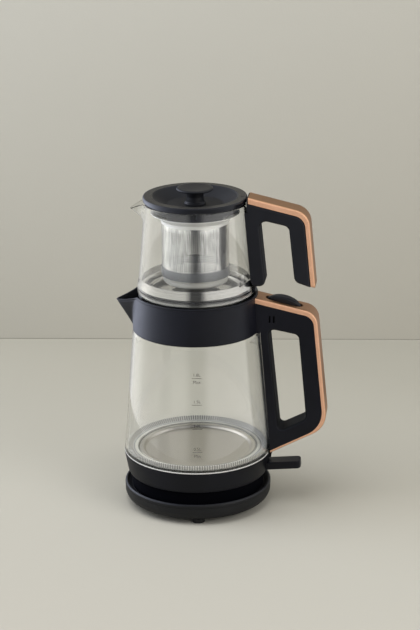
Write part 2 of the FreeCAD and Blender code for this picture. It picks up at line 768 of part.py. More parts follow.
def handle_clip():
    """The hook that holds the handle's leg to the glass foot."""
    clip = turned([
        (62.0, 242.3, 0.3), (65.2, 242.3, 1.0), (65.6, 250.0), (66.8, 250.35), (64.0, 253.0, 0.6), (62.2, 253.0),
        (63.0, 249.6), (63.0, 243.75), (62.0, 243.75),
    ])
    clip = clip.common(block(55.0, 70.0, -7.5, 7.5, 240.0, 255.0))
    return clip.cut(upright(pot_handle_outline(), teapot_handle_width + 2))


# ---- strainer -----------------------------------------------------------------------

long_skirt_half_angle = 37.0


def strainer_ring():
    body = turned([
        (46.0, 329.0, 0.4), (47.8, 329.0, 0.4), (47.8, 338.4, 0.8), (50.8, pot_rim_z, 0.4),
        (53.2, pot_rim_z, 0.2), (53.2, lid_low_z, 0.4), (46.0, lid_low_z, 0.4),
    ])
    sector = Part.makeCylinder(60.0, 4.4, V(0, 0, 328.0), V(0, 0, 1), 180 - 2 * long_skirt_half_angle)
    body = cut_all(body, around([long_skirt_half_angle - 82.5, long_skirt_half_angle + 97.5], sector))
    spacer = block(47.0, 51.0, -3.0, 3.0, 333.0, 338.6)
    return fuse_all([body] + around([12.0, 102.0, 192.0, 282.0], spacer))


def strainer_rim():
    return turned([
        (36.6, 318.0), (36.6, 321.3, 1), (43.9, 327.6, 1), (47.2, 328.2), (47.2, 328.95), (43.5, 328.95, 1),
        (36.05, 322.0, 1), (36.05, 318.0),
    ])


def strainer_mesh():
    return ring(strainer_radius - 0.5, strainer_radius, 268.0, 320.0)


def strainer_cup():
    return turned([
        (36.05, 270.0), (36.6, 270.0), (36.6, 260.0, 1.5), (34.8, 258.4, 0.6), (34.8, 254.0, 2.5), (32.0, strainer_low_z, 1),
        (0, strainer_low_z), (0, strainer_low_z + 0.6), (31.8, strainer_low_z + 0.6, 1), (34.2, 254.4, 2.0),
        (34.2, 258.8, 0.6), (36.05, 260.6, 1.0),
    ])


# ---- teapot lid ---------------------------------------------------------------------


def lid_cover():
    return turned([
        (1.6, lid_floor_z), (30.0, lid_floor_z, 4), (45.2, lid_top_z - 0.6, 1), (46.2, lid_top_z, 0.4),
        (54.9, lid_top_z, 0.9), (lid_radius, 344.6, 1), (55.3, lid_low_z, 0.3), (53.5, lid_low_z, 0.3),
        (53.5, 343.4, 0.5), (45.0, 343.4, 1), (30.0, 334.8, 4), (1.6, 334.8),
    ])


def lid_seal():
    return turned([
        (47.4, 343.4), (47.4, 341.6, 0.4), (49.0, lid_low_z, 0.4), (53.0, lid_low_z, 0.4), (53.4, 342.7), (52.7, 343.4),
    ])


def knob_stem():
    return turned([
        (1.5, lid_floor_z), (11.6, lid_floor_z), (11.6, 338.0, 0.5), (9.8, 340.0, 1.5), (9.0, 345.0, 3), (9.4, 351.3), (1.5, 351.3),
    ])


def knob_disc():
    return turned([
        (0, 351.3), (15.0, 351.5, 2), (19.3, 352.3, 0.4), (knob_radius, 353.2, 0.5), (19.2, 354.3, 0.6),
        (17.0, knob_top_z, 2), (8.0, 354.2, 6), (0, 354.0),
    ])


def knob_screw():
    head = Part.makeCylinder(3.2, 1.9, V(0, 0, 332.9))
    shank = Part.makeCylinder(1.5, 12.6, V(0, 0, 334.6))
    return head.fuse(shank).removeSplitter()


# ---- all the nodes ------------------------------------------------------------------

makers = [
    base_bottom_cover, base_feet, base_top_shell, base_screws, base_socket, base_contacts, terminal_block, cord_gland,
    kettle_bottom_cover, lower_collar, bottom_screws, kettle_connector, connector_pins, control_unit, bimetal_disc,
    heat_spreader, heating_element, element_terminals, heating_plate, plate_seal, glass_gasket, kettle_glass,
    switch_lever, lever_pin, upper_collar, collar_seal, kettle_handle, kettle_handle_trim, steam_tube, handle_screws,
    lid_button, button_spring, lid_latch, steam_lid, steam_lid_seal, steam_lid_grip,
    teapot_glass, teapot_base_pan, pan_seal, teapot_foot_ring, teapot_handle, teapot_handle_trim, handle_pads, handle_clip,
    strainer_ring, strainer_rim, strainer_mesh, strainer_cup,
    lid_cover, lid_seal, knob_stem, knob_disc, knob_screw,
]

os.makedirs("parts", exist_ok=True)
for maker in makers:
    shape = maker()
    shape.translate(V(footprint_shift, 0, 0))
    box = shape.BoundBox
    print(f"{maker.__name__:20s} solids {len(shape.Solids)} valid {shape.isValid()} volume {shape.Volume:8.0f}"
          f" x {box.XMin:7.2f} {box.XMax:7.2f} y {box.YMin:7.2f} {box.YMax:7.2f} z {box.ZMin:7.2f} {box.ZMax:7.2f}")
    shape.exportStep(f"parts/{maker.__name__}.step")
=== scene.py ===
import bmesh
import bpy
import functools
import math
import numpy as np
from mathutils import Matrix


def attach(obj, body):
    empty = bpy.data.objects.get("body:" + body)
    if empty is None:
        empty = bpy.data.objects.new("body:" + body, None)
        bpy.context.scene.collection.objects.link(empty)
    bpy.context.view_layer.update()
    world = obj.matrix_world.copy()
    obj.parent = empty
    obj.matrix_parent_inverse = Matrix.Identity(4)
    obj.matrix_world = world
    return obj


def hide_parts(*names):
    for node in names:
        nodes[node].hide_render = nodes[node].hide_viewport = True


# Looks of the two-tier tea maker: power base, glass kettle, glass teapot with its strainer and lid.
# Lengths of its pieces are millimetres about the kettle's axis, and meshes are written in metres.

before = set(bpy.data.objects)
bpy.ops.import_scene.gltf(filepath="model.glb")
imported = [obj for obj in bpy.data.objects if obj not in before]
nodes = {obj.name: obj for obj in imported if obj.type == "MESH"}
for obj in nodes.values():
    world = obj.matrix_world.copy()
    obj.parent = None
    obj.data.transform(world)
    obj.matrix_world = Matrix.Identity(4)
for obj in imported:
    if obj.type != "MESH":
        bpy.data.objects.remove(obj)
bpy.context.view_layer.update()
print("frame loaded:", len(nodes), "nodes")

axisX = -27.0  # the kettle's axis in the row frame


# Room, light and camera, in metres.

studio = {
    "wallThrough": (-0.079, 0.5312),   # a point on the line where wall and table meet
    "wallSlope": 0.0885,               # that line's y per x
    "wallWidth": 3.2, "wallHeight": 2.4, "tableHalf": 3.0,
    "jointGap": 0.0016, "jointDepth": 0.004, "jointShadeTone": "#A09D92",   # a strip behind the table, painted darker: painted shade where table and wall meet
    # paint: the way its tone drifts (painted light and shade across the room), between which distances
    # that way, and the tone by share of it, as it is and as soft reflections see it (a painted
    # reflection)
    "table": {
        "way": (0.5, 1.0, 0.0), "between": (-0.5, 0.5),
        "tones": [(0.0, "#BEBBB2"), (0.4, "#BFBDB4"), (1.0, "#B1AFA5")],
        "seen": [(0.0, "#C8C6BE"), (0.2, "#8D8C86"), (1.0, "#A3A29B")],
    },
    "wall": {
        "way": (-0.45, 0.0, 1.0), "between": (-0.1, 1.6),
        "tones": [(0.0, "#B9B6AC"), (0.42, "#CAC9C2"), (0.58, "#86847D")],
        "seen": [(0.2, "#D6D4CC"), (0.38, "#9D9B94")],
    },
    "air": ("#F6F5F2", 0.34),      # colour and strength of the light from all round
    "behind": ("#BDBAAC", 1.0),    # what a ray past the edge of the room sees
    # softboxes: place, what they face, size, power, colour, and whether reflections see them
    "lamps": {
        "window": ((-2.1, 0.15, 1.15), (0, 0, 0.2), (2.9, 2.5), 48.0, "#F3F7FF", True),
        "fill": ((1.7, -1.2, 1.1), (0, 0, 0.2), (1.5, 1.5), 23.0, "#FFFCF8", True),
        "overhead": ((-0.4, -0.5, 2.3), (0, 0, 0.1), (1.8, 1.8), 33.5, "#FCFBF9", False),
    },
    # boards round the object, which only reflections see: turns from the lens (left is negative),
    # colour as soft finishes see it, colour as glass sees it, and whether glass sees it at all
    "boards": {
        "window board": ((-168.0, -12.5), "#E4EAFD", "#F7F6F1", True),
        "lens side": ((-12.5, 12.5), "#FFFFFF", "#FFFFFF", True),
        "right board": ((12.5, 125.0), "#F3F6FF", "#FFFDFA", True),
        "dark card": ((125.0, 169.0), "#FFFFFF", "#FFFFFF", False),
    },
    # how bright they are: turn, level for soft finishes, level for glass and what lies behind it
    "boardLevels": [
        (-168, 0.55, 0.45), (-150, 0.9, 0.6), (-141, 1.5, 0.8), (-127, 2.6, 1.3), (-116, 3.2, 1.65),
        (-106, 3.2, 1.65), (-98, 2.8, 1.35), (-82, 1.9, 1.1), (-68, 1.2, 1.05), (-55, 0.9, 1.0),
        (-43, 0.72, 1.0), (-32, 0.56, 1.0), (-20, 0.4, 0.95), (-13, 0.3, 0.45), (-9, 0.26, 0.1),
        (8, 0.25, 0.1), (13, 0.26, 0.4), (20, 0.3, 1.0), (35, 0.38, 1.1), (47, 0.47, 1.15),
        (59, 0.58, 1.2), (73, 0.66, 1.2), (87, 0.76, 1.2), (103, 0.72, 1.1), (115, 0.45, 0.9),
        (125, 0.25, 0.7), (169, 0.2, 0.0),
    ],
    "boardAway": 0.40, "boardHeight": 0.62, "boardColumns": 41,
    "footHeight": 0.09, "footLevel": 0.2,   # soft finishes see them dim at the foot
    "ceiling": {"corners": ((-0.45, -0.50), (0.42, 0.30)), "height": 0.64, "level": 0.65,
                "tints": ("#EEF2FF", "#FFFFFF")},
    "lensTurn": -82.5,   # degrees about the axis
    "cameraPlace": (0.2522, -2.1207, 0.9229),
    "cameraTurns": (1.2500457764, 0.0082815988, 0.1212194413),
    "lens": 119.497, "sensor": 36.0,        # millimetres
}


# sRGB hex to linear RGBA.
def hexColour(code):
    parts = np.array([int(code[i:i + 2], 16) for i in (1, 3, 5)]) / 255.0
    linear = np.where(parts <= 0.04045, parts / 12.92, ((parts + 0.055) / 1.055) ** 2.4)
    return (*linear.tolist(), 1.0)


# One node with its settings; an input is a link where it is another node's output, else a value.
# A colour ramp takes (position, hex) stops. Gives the node's outputs.
def addNode(tree, kind, inputs=None, stops=(), **settings):
    node = tree.nodes.new("ShaderNode" + kind)
    for key, value in settings.items():
        setattr(node, key, value)
    for key, value in (inputs or {}).items():
        if isinstance(value, bpy.types.NodeSocket):
            tree.links.new(value, node.inputs[key])
        else:
            node.inputs[key].default_value = value
    if stops:
        elements = node.color_ramp.elements
        while len(elements) < len(stops):
            elements.new(0.5)
        for element, (position, code) in zip(elements, stops):
            element.position = position
            element.color = hexColour(code)
    return node.outputs


# A fresh material, and addNode with its tree filled in.
def newMaterial(name):
    material = bpy.data.materials.new(name)
    material.use_nodes = True
    material.node_tree.nodes.clear()
    return material, functools.partial(addNode, material.node_tree)


def addObject(name, data):
    thing = bpy.data.objects.new(name, data)
    bpy.context.scene.collection.objects.link(thing)
    return thing


# Matt emulsion paint with a roller's grain of about 2.4 mm: its tone drifts from one end to the other,
# which is painted light and shade across the room, and its back can't be seen.
def stagePaint(name, paint):
    material, add = newMaterial(name)
    place = add("TexCoord")["Object"]
    way = add("VectorMath", {0: place, 1: paint["way"]}, operation="DOT_PRODUCT")["Value"]
    low, high = paint["between"]
    # the share along that way sets the painted light's drift
    share = add("MapRange", {"Value": way, "From Min": low, "From Max": high})[0]
    grain = add("TexNoise", {"Vector": place, "Scale": 420.0, "Detail": 3.0, "Roughness": 0.6})
    bump = add("Bump", {"Height": grain["Fac"], "Strength": 0.12, "Distance": 0.001})[0]
    # painted reflection: soft reflections in plastic and brushed metal see it as if a darker card lay
    # in front, the table darkest just in front of the object, as if its shade lay there, and the wall
    # darker higher up
    rays = add("LightPath")
    soft = add("Math", {0: rays["Is Glossy Ray"], 1: rays["Is Singular Ray"]}, operation="SUBTRACT")[0]
    tone, card = (add("ValToRGB", {"Fac": share}, paint[key])[0] for key in ("tones", "seen"))
    shown = add("Mix", {0: soft, 6: tone, 7: card}, data_type="RGBA")[2]
    matt = add("BsdfDiffuse", {"Color": shown, "Normal": bump})[0]
    clear = add("BsdfTransparent")[0]
    back = add("NewGeometry")["Backfacing"]
    mixed = add("MixShader", {0: back, 1: matt, 2: clear})[0]
    add("OutputMaterial", {"Surface": mixed})
    return material


def addStagePlane(name, corners, material):
    mesh = bpy.data.meshes.new(name)
    mesh.from_pydata(corners, [], [(0, 1, 2, 3)])
    mesh.materials.append(material)
    addObject(name, mesh)


# Table and wall meet along a slanting line, with the joint a little behind it.
def addRoom():
    (px, py), side, gap = studio["wallThrough"], studio["tableHalf"], studio["jointGap"]
    left, right = px - studio["wallWidth"] / 2, px + studio["wallWidth"] / 2

    def meet(x):
        return py + (x - px) * studio["wallSlope"]

    def upright(low, high, back):
        corners = ((left, low), (right, low), (right, high), (left, high))
        return [(x, meet(x) + back, z) for x, z in corners]

    table = [(-side, -side, 0), (side, -side, 0), (side, meet(side), 0), (-side, meet(-side), 0)]
    addStagePlane("table", table, stagePaint("table paint, matt", studio["table"]))
    wall = stagePaint("wall paint, matt", studio["wall"])
    addStagePlane("wall", upright(gap, studio["wallHeight"], 0.0), wall)
    # the strip's tone is painted shade in the corner
    shade, add = newMaterial("joint shadow")
    dark = add("BsdfDiffuse", {"Color": hexColour(studio["jointShadeTone"])})[0]
    add("OutputMaterial", {"Surface": dark})
    addStagePlane("joint", upright(-0.001, gap, studio["jointDepth"]), shade)


def addAir():
    world = bpy.data.worlds.new("studio air")
    bpy.context.scene.world = world
    world.use_nodes = True
    world.node_tree.nodes.clear()
    add = functools.partial(addNode, world.node_tree)
    air, behind = (add("Background", {"Color": hexColour(code), "Strength": level})[0]
                   for code, level in (studio["air"], studio["behind"]))
    rays = add("LightPath")
    passed = add("Math", {0: rays["Is Camera Ray"], 1: rays["Is Transmission Ray"]},
                 operation="MAXIMUM")[0]
    add("OutputWorld", {"Surface": add("MixShader", {0: passed, 1: air, 2: behind})[0]})


def addLamps():
    for name, (place, target, size, power, tint, mirrored) in studio["lamps"].items():
        light = bpy.data.lights.new(name, "AREA")
        light.shape = "RECTANGLE"
        light.size, light.size_y = size
        light.energy = power
        light.color = hexColour(tint)[:3]
        lamp = addObject(name, light)
        lamp.location = place
        lamp.visible_camera = lamp.visible_transmission = False
        lamp.visible_glossy = mirrored
        x, y, z = np.array(target) - np.array(place)  # it shines along its own -z
        lamp.rotation_euler = (math.acos(-z / math.hypot(x, y, z)), 0.0, math.atan2(y, x) - math.pi / 2)


# A ray that has been mirrored sees a board, also through glass; one that only passed through doesn't.
def addBoard(name, places, faces, soft, sharp, tints, inGlass):
    mesh = bpy.data.meshes.new(name)
    mesh.from_pydata(places.tolist(), [], faces)
    lit, add = newMaterial(name)
    rays = add("LightPath")
    keen = rays["Is Singular Ray"]
    levels = []
    for key, values in (("soft", soft), ("sharp", sharp)):
        values = np.broadcast_to(values, len(places)).astype(np.float32)
        mesh.attributes.new(key, "FLOAT", "POINT").data.foreach_set("value", values)
        levels.append(add("Attribute", attribute_name=key)["Fac"])
    level = add("Mix", {0: keen, 2: levels[0], 3: levels[1]})[0]
    softTint, sharpTint = (hexColour(code) for code in tints)
    tint = add("Mix", {0: keen, 6: softTint, 7: sharpTint}, data_type="RGBA")[2]
    shine = add("Emission", {"Strength": level, "Color": tint})[0]
    seen = add("Math", {0: rays["Glossy Depth"], 1: 0.5}, operation="GREATER_THAN")[0]
    if not inGlass:
        seen = add("Math", {0: seen, 1: keen}, operation="SUBTRACT", use_clamp=True)[0]
    clear = add("BsdfTransparent")[0]
    mixed = add("MixShader", {0: seen, 1: clear, 2: shine})[0]
    add("OutputMaterial", {"Surface": mixed})
    mesh.materials.append(lit)
    board = addObject(name, mesh)
    board.visible_camera = board.visible_diffuse = board.visible_shadow = False


# Boards stand on a circle about the kettle's axis: rows of points at the ground, at the top of the dim
# foot and at the top.
def addBoards():
    stops = np.array(studio["boardLevels"])
    wide, away = studio["boardColumns"], studio["boardAway"]
    for name, (reach, softTint, sharpTint, inGlass) in studio["boards"].items():
        across = np.linspace(*reach, wide)
        turns = np.radians(studio["lensTurn"] + across)
        ground = np.stack([axisX / 1000 + away * np.cos(turns), away * np.sin(turns), 0 * turns], -1)
        places = np.concatenate([ground + np.array([0, 0, up])
                                 for up in (0.0, studio["footHeight"], studio["boardHeight"])])
        starts = [row + k for row in (0, wide) for k in range(wide - 1)]
        faces = [(k, k + 1, k + wide + 1, k + wide) for k in starts]
        soft, sharp = (np.interp(across, stops[:, 0], stops[:, k]) for k in (1, 2))
        soft = np.concatenate([soft * studio["footLevel"], soft, soft])
        addBoard(name, places, faces, soft, np.tile(sharp, 3), (softTint, sharpTint), inGlass)
    card = studio["ceiling"]
    level, ((x0, y0), (x1, y1)) = card["level"], card["corners"]
    corners = np.array([(x, y, card["height"]) for x, y in ((x0, y0), (x1, y0), (x1, y1), (x0, y1))])
    addBoard("ceiling card", corners, [(0, 1, 2, 3)], level, level, card["tints"], False)


def addCamera():
    lens = bpy.data.cameras.new("camera")
    lens.sensor_fit = "AUTO"
    lens.sensor_width = studio["sensor"]
    lens.lens = studio["lens"]
    lens.clip_end = 20.0
    camera = addObject("camera", lens)
    camera.location = studio["cameraPlace"]
    camera.rotation_euler = studio["cameraTurns"]
    bpy.context.scene.camera = camera
    bpy.context.scene.view_settings.view_transform = "Standard"


addRoom()
addAir()
addLamps()
addBoards()
addCamera()
print("studio set")


# Finishes.


# Texture scale, per metre, at which a noise cell is about that many millimetres.
def mm(size):
    return 1000.0 / size


# Colour stops set evenly from low to high; a noise seldom leaves 0.3 to 0.7.
def evenStops(codes, low=0.3, high=0.7):
    return list(zip(np.linspace(low, high, len(codes)).tolist(), codes))


# Object coordinates as they are, and taken about the kettle's axis.
def aboutAxis(add):
    place = add("TexCoord")["Object"]
    centred = add("Mapping", {"Vector": place, "Location": (-axisX / 1000, 0, 0)})[0]
    x, y, height = add("SeparateXYZ", {"Vector": centred})
    flat = add("Mapping", {"Vector": centred, "Scale": (1, 1, 0)})[0]
    radius = add("VectorMath", {0: flat}, operation="LENGTH")["Value"]
    turn = add("Math", {0: y, 1: x}, operation="ARCTAN2")[0]
    return {"place": place, "across": y, "height": height, "radius": radius, "turn": turn}


# 1 on the open, polished skin, 0 in a recess, which is duller and darkened with painted shade: where
# the piece's attribute says, inside the first of two radii, or in a box of a middle and half sizes, all
# in mm about the axis.
def polishedUnshadedShare(add, attribute=None, radii=None, middle=None, half=None):
    axis = aboutAxis(add)
    if attribute:
        told = add("Attribute", attribute_name=attribute)["Fac"]
        return add("MapRange", {"Value": told, "To Min": 1.0, "To Max": 0.0})[0]
    if radii:
        return add("MapRange", {"Value": axis["radius"], "From Min": radii[0] / 1000,
                                "From Max": radii[1] / 1000})[0]
    half = np.array(half) / 1000
    centre = np.array(middle) / 1000 + [axisX / 1000, 0, 0]
    boxed = add("Mapping", {"Vector": axis["place"], "Location": tuple(-centre / half),
                            "Scale": tuple(1 / half)})[0]
    x, y, z = add("SeparateXYZ", {"Vector": add("VectorMath", {0: boxed}, operation="ABSOLUTE")[0]})
    most = add("Math", {0: x, 1: y}, operation="MAXIMUM")[0]
    most = add("Math", {0: most, 1: z}, operation="MAXIMUM")[0]
    return add("Math", {0: most, 1: 1.0}, operation="GREATER_THAN")[0]


recessShadeTone = "#040508"   # painted shade: the near-black tone of plastic in recesses


# Moulded plastic: an even dark shell, a fine spark-eroded grain (mm), and faint handling marks in its
# gloss. In a recess the skin is duller, and darkened with painted shade.
def mouldedPlastic(name, tones, rough, grain=0.8, relief=0.05, shine=0.35, smudge=0.05, recess=None,
                   dull=0.85):
    material, add = newMaterial(name)
    place = add("TexCoord")["Object"]
    skin = add("TexNoise", {"Vector": place, "Scale": mm(grain), "Detail": 2.0, "Roughness": 0.55})
    drift = add("TexNoise", {"Vector": place, "Scale": mm(38.0), "Detail": 3.0,
                             "Roughness": 0.5})["Fac"]
    tone = add("ValToRGB", {"Fac": drift}, evenStops(tones))[0]
    gloss = add("MapRange", {"Value": drift, "From Min": 0.3, "From Max": 0.7,
                             "To Min": rough - smudge, "To Max": rough + smudge})[0]
    bump = add("Bump", {"Height": skin["Fac"], "Strength": relief, "Distance": 0.0002})[0]
    if recess:
        polished = polishedUnshadedShare(add, **recess)
        # in the recess the tone is painted shade, and the gloss is duller
        tone = add("Mix", {0: polished, 6: hexColour(recessShadeTone), 7: tone}, data_type="RGBA")[2]
        gloss = add("Mix", {0: polished, 2: dull, 3: gloss})[0]
    shell = add("BsdfPrincipled", {"Base Color": tone, "Roughness": gloss, "Normal": bump,
                                   "IOR": 1.49, "Specular IOR Level": shine})[0]
    add("OutputMaterial", {"Surface": shell})
    return material


# A tone between two heights in mm, with edges half a millimetre soft, and the given tone elsewhere.
def heightBand(add, tone, height, low, high, code):
    above, below = (add("MapRange", {"Value": height, "From Min": (edge - soft) / 1000,
                                     "From Max": (edge + soft) / 1000})[0]
                    for edge, soft in ((low, 0.25), (high, -0.25)))
    within = add("Math", {0: above, 1: below}, operation="MULTIPLY")[0]
    return add("Mix", {0: within, 6: tone, 7: hexColour(code)}, data_type="RGBA")[2]


# A strip's side faces are made less metallic, so they scatter light as paint does, and are painted
# paler, a painted highlight where they face the light. The change runs between two distances, in mm in
# from the strip's edge.
stripSidesPaintedLit = {"tones": ("#EDB690", "#FBC4A1"), "metallic": 0.4, "from": 1.3, "to": 0.2}


# Metal with a worked skin: noise (cells of grain mm) drawn out along the way the tool ran, in gloss,
# tone and relief. On a turned piece it lies in rings, by distance from the axis and height. A band is
# (low, high, tone) in mm, and a half width makes it a strip, with painted light on its side faces.
def workedMetal(name, tones, rough, stretch, grain=0.5, spread=0.06, relief=0.04, turned=False,
                metallic=1.0, band=None, halfWidth=None):
    material, add = newMaterial(name)
    axis = aboutAxis(add)
    place = axis["place"]
    if turned:
        place = add("CombineXYZ", {0: axis["radius"], 1: axis["height"]})[0]
    drawn = add("Mapping", {"Vector": place, "Scale": stretch})[0]
    lines = add("TexNoise", {"Vector": drawn, "Scale": mm(grain), "Detail": 4.0,
                             "Roughness": 0.7})["Fac"]
    tone = add("ValToRGB", {"Fac": lines}, evenStops(tones))[0]
    gloss = add("MapRange", {"Value": lines, "From Min": 0.3, "From Max": 0.7,
                             "To Min": max(0.02, rough - spread), "To Max": rough + spread})[0]
    bump = add("Bump", {"Height": lines, "Strength": relief, "Distance": 0.0002})[0]
    if band:
        tone = heightBand(add, tone, axis["height"], *band)
    if halfWidth:
        off = add("Math", {0: axis["across"]}, operation="ABSOLUTE")[0]
        start, end = ((halfWidth - stripSidesPaintedLit[key]) / 1000 for key in ("from", "to"))
        share = add("MapRange", {"Value": off, "From Min": start, "From Max": end})[0]
        # the side faces' paler tone is a painted highlight
        side = add("ValToRGB", {"Fac": lines}, evenStops(stripSidesPaintedLit["tones"]))[0]
        tone = add("Mix", {0: share, 6: tone, 7: side}, data_type="RGBA")[2]
        metallic = add("MapRange", {"Value": share, "To Min": metallic,
                                    "To Max": stripSidesPaintedLit["metallic"]})[0]
    metal = add("BsdfPrincipled", {"Base Color": tone, "Roughness": gloss, "Normal": bump,
                                   "Metallic": metallic})[0]
    add("OutputMaterial", {"Surface": metal})
    return material


# Blown borosilicate: clear, a trace of grey-green, a slow wave in its skin. Lamps reach through it.
def blownGlass(name, tones, waviness):
    material, add = newMaterial(name)
    place = add("TexCoord")["Object"]
    wave = add("TexNoise", {"Vector": place, "Scale": mm(45.0), "Detail": 1.0})["Fac"]
    tone = add("ValToRGB", {"Fac": wave}, evenStops(tones))[0]
    bump = add("Bump", {"Height": wave, "Strength": waviness, "Distance": 0.001})[0]
    glass = add("BsdfPrincipled", {"Base Color": tone, "Normal": bump, "Roughness": 0.0,
                                   "IOR": 1.47, "Transmission Weight": 1.0})[0]
    clear = add("BsdfTransparent", {"Color": tone})[0]
    shadow = add("LightPath")["Is Shadow Ray"]
    mixed = add("MixShader", {0: shadow, 1: glass, 2: clear})[0]
    add("OutputMaterial", {"Surface": mixed})
    return material


# Strainer's mesh: etched holes between two heights, and a dark band below them.
etching = {
    "holes": 94, "pitch": 2.4, "low": 270.5, "high": 314.0,   # the pitch fills a radius of 36 mm
    "band": (250.0, 269.8, "#787A7D"), "tones": [(0.36, "#BEBEBB"), (0.62, "#E4E4E1")],
}


# Photo-etched stainless sheet: rows of fine holes, drawn at 2.4 mm so that they show, in a bright skin
# with drawn streaks. A hole is where the cosines round and up the sheet add up to enough.
def etchedMesh(name):
    material, add = newMaterial(name)
    axis = aboutAxis(add)
    upScale = 2 * math.pi * 1000 / etching["pitch"]
    waves = []
    for way, scale in ((axis["turn"], etching["holes"]), (axis["height"], upScale)):
        angle = add("Math", {0: way, 1: float(scale)}, operation="MULTIPLY")[0]
        waves.append(add("Math", {0: angle}, operation="COSINE")[0])
    both = add("Math", {0: waves[0], 1: waves[1]}, operation="ADD")[0]
    hole = add("MapRange", {"Value": both, "From Min": 0.35, "From Max": 0.75})[0]
    for limit, way in (("low", "GREATER_THAN"), ("high", "LESS_THAN")):
        side = add("Math", {0: axis["height"], 1: etching[limit] / 1000}, operation=way)[0]
        hole = add("Math", {0: hole, 1: side}, operation="MULTIPLY")[0]
    drawn = add("Mapping", {"Vector": axis["place"], "Scale": (1.0, 1.0, 0.16)})[0]
    streak = add("TexNoise", {"Vector": drawn, "Scale": mm(2.4), "Detail": 3.0,
                              "Roughness": 0.65})["Fac"]
    tone = add("ValToRGB", {"Fac": streak}, etching["tones"])[0]
    tone = heightBand(add, tone, axis["height"], *etching["band"])
    gloss = add("MapRange", {"Value": streak, "To Min": 0.16, "To Max": 0.26})[0]
    bump = add("Bump", {"Height": both, "Strength": 0.15, "Distance": 0.0001}, invert=True)[0]
    steel = add("BsdfPrincipled", {"Base Color": tone, "Roughness": gloss, "Normal": bump,
                                   "Metallic": 1.0})[0]
    opened = add("BsdfTransparent")[0]
    mixed = add("MixShader", {0: hole, 1: steel, 2: opened})[0]
    add("OutputMaterial", {"Surface": mixed})
    return material


# Moulded silicone with fine ribs round the kettle's axis, drawn at about 2.5 mm so that they show, each
# groove darkened with painted shade. Rings are (radius in mm, tone) from the inside out: plain tones as
# far as the last, where ribs start.
def ribbedRubber(name, tones, rough, ribs=200, rings=None):
    material, add = newMaterial(name)
    axis = aboutAxis(add)
    count = add("Math", {0: axis["turn"], 1: float(ribs)}, operation="MULTIPLY")[0]
    wave = add("Math", {0: count}, operation="COSINE")[0]
    # painted shade: the tone darkens in each groove between the ribs
    tone = add("ValToRGB", {"Fac": wave}, evenStops(tones, 0.0, 1.0))[0]
    bump = add("Bump", {"Height": wave, "Strength": 0.35, "Distance": 0.0006})[0]
    cloud = add("TexNoise", {"Vector": axis["place"], "Scale": mm(6.0), "Detail": 2.0})["Fac"]
    gloss = add("MapRange", {"Value": cloud, "To Min": rough - 0.08, "To Max": rough + 0.08})[0]
    if rings:
        first, last = rings[0][0], rings[-1][0]
        share = add("MapRange", {"Value": axis["radius"], "From Min": first / 1000,
                                 "From Max": last / 1000})[0]
        plain = add("ValToRGB", {"Fac": share},
                    [((radius - first) / (last - first), code) for radius, code in rings])[0]
        ribbed = add("Math", {0: axis["radius"], 1: last / 1000}, operation="GREATER_THAN")[0]
        tone = add("Mix", {0: ribbed, 6: plain, 7: tone}, data_type="RGBA")[2]
    rubber = add("BsdfPrincipled", {"Base Color": tone, "Roughness": gloss, "Normal": bump,
                                    "IOR": 1.41})[0]
    add("OutputMaterial", {"Surface": rubber})
    return material


blueBlack = ("#0B0C12", "#10111A")
clearTones = ("#FCFDFC", "#FEFEFE")
brushedAcross = (0.05, 1.0, 0.05)   # how much closer noise changes each way
drawnInRings = (0.3, 1.0, 1.0)

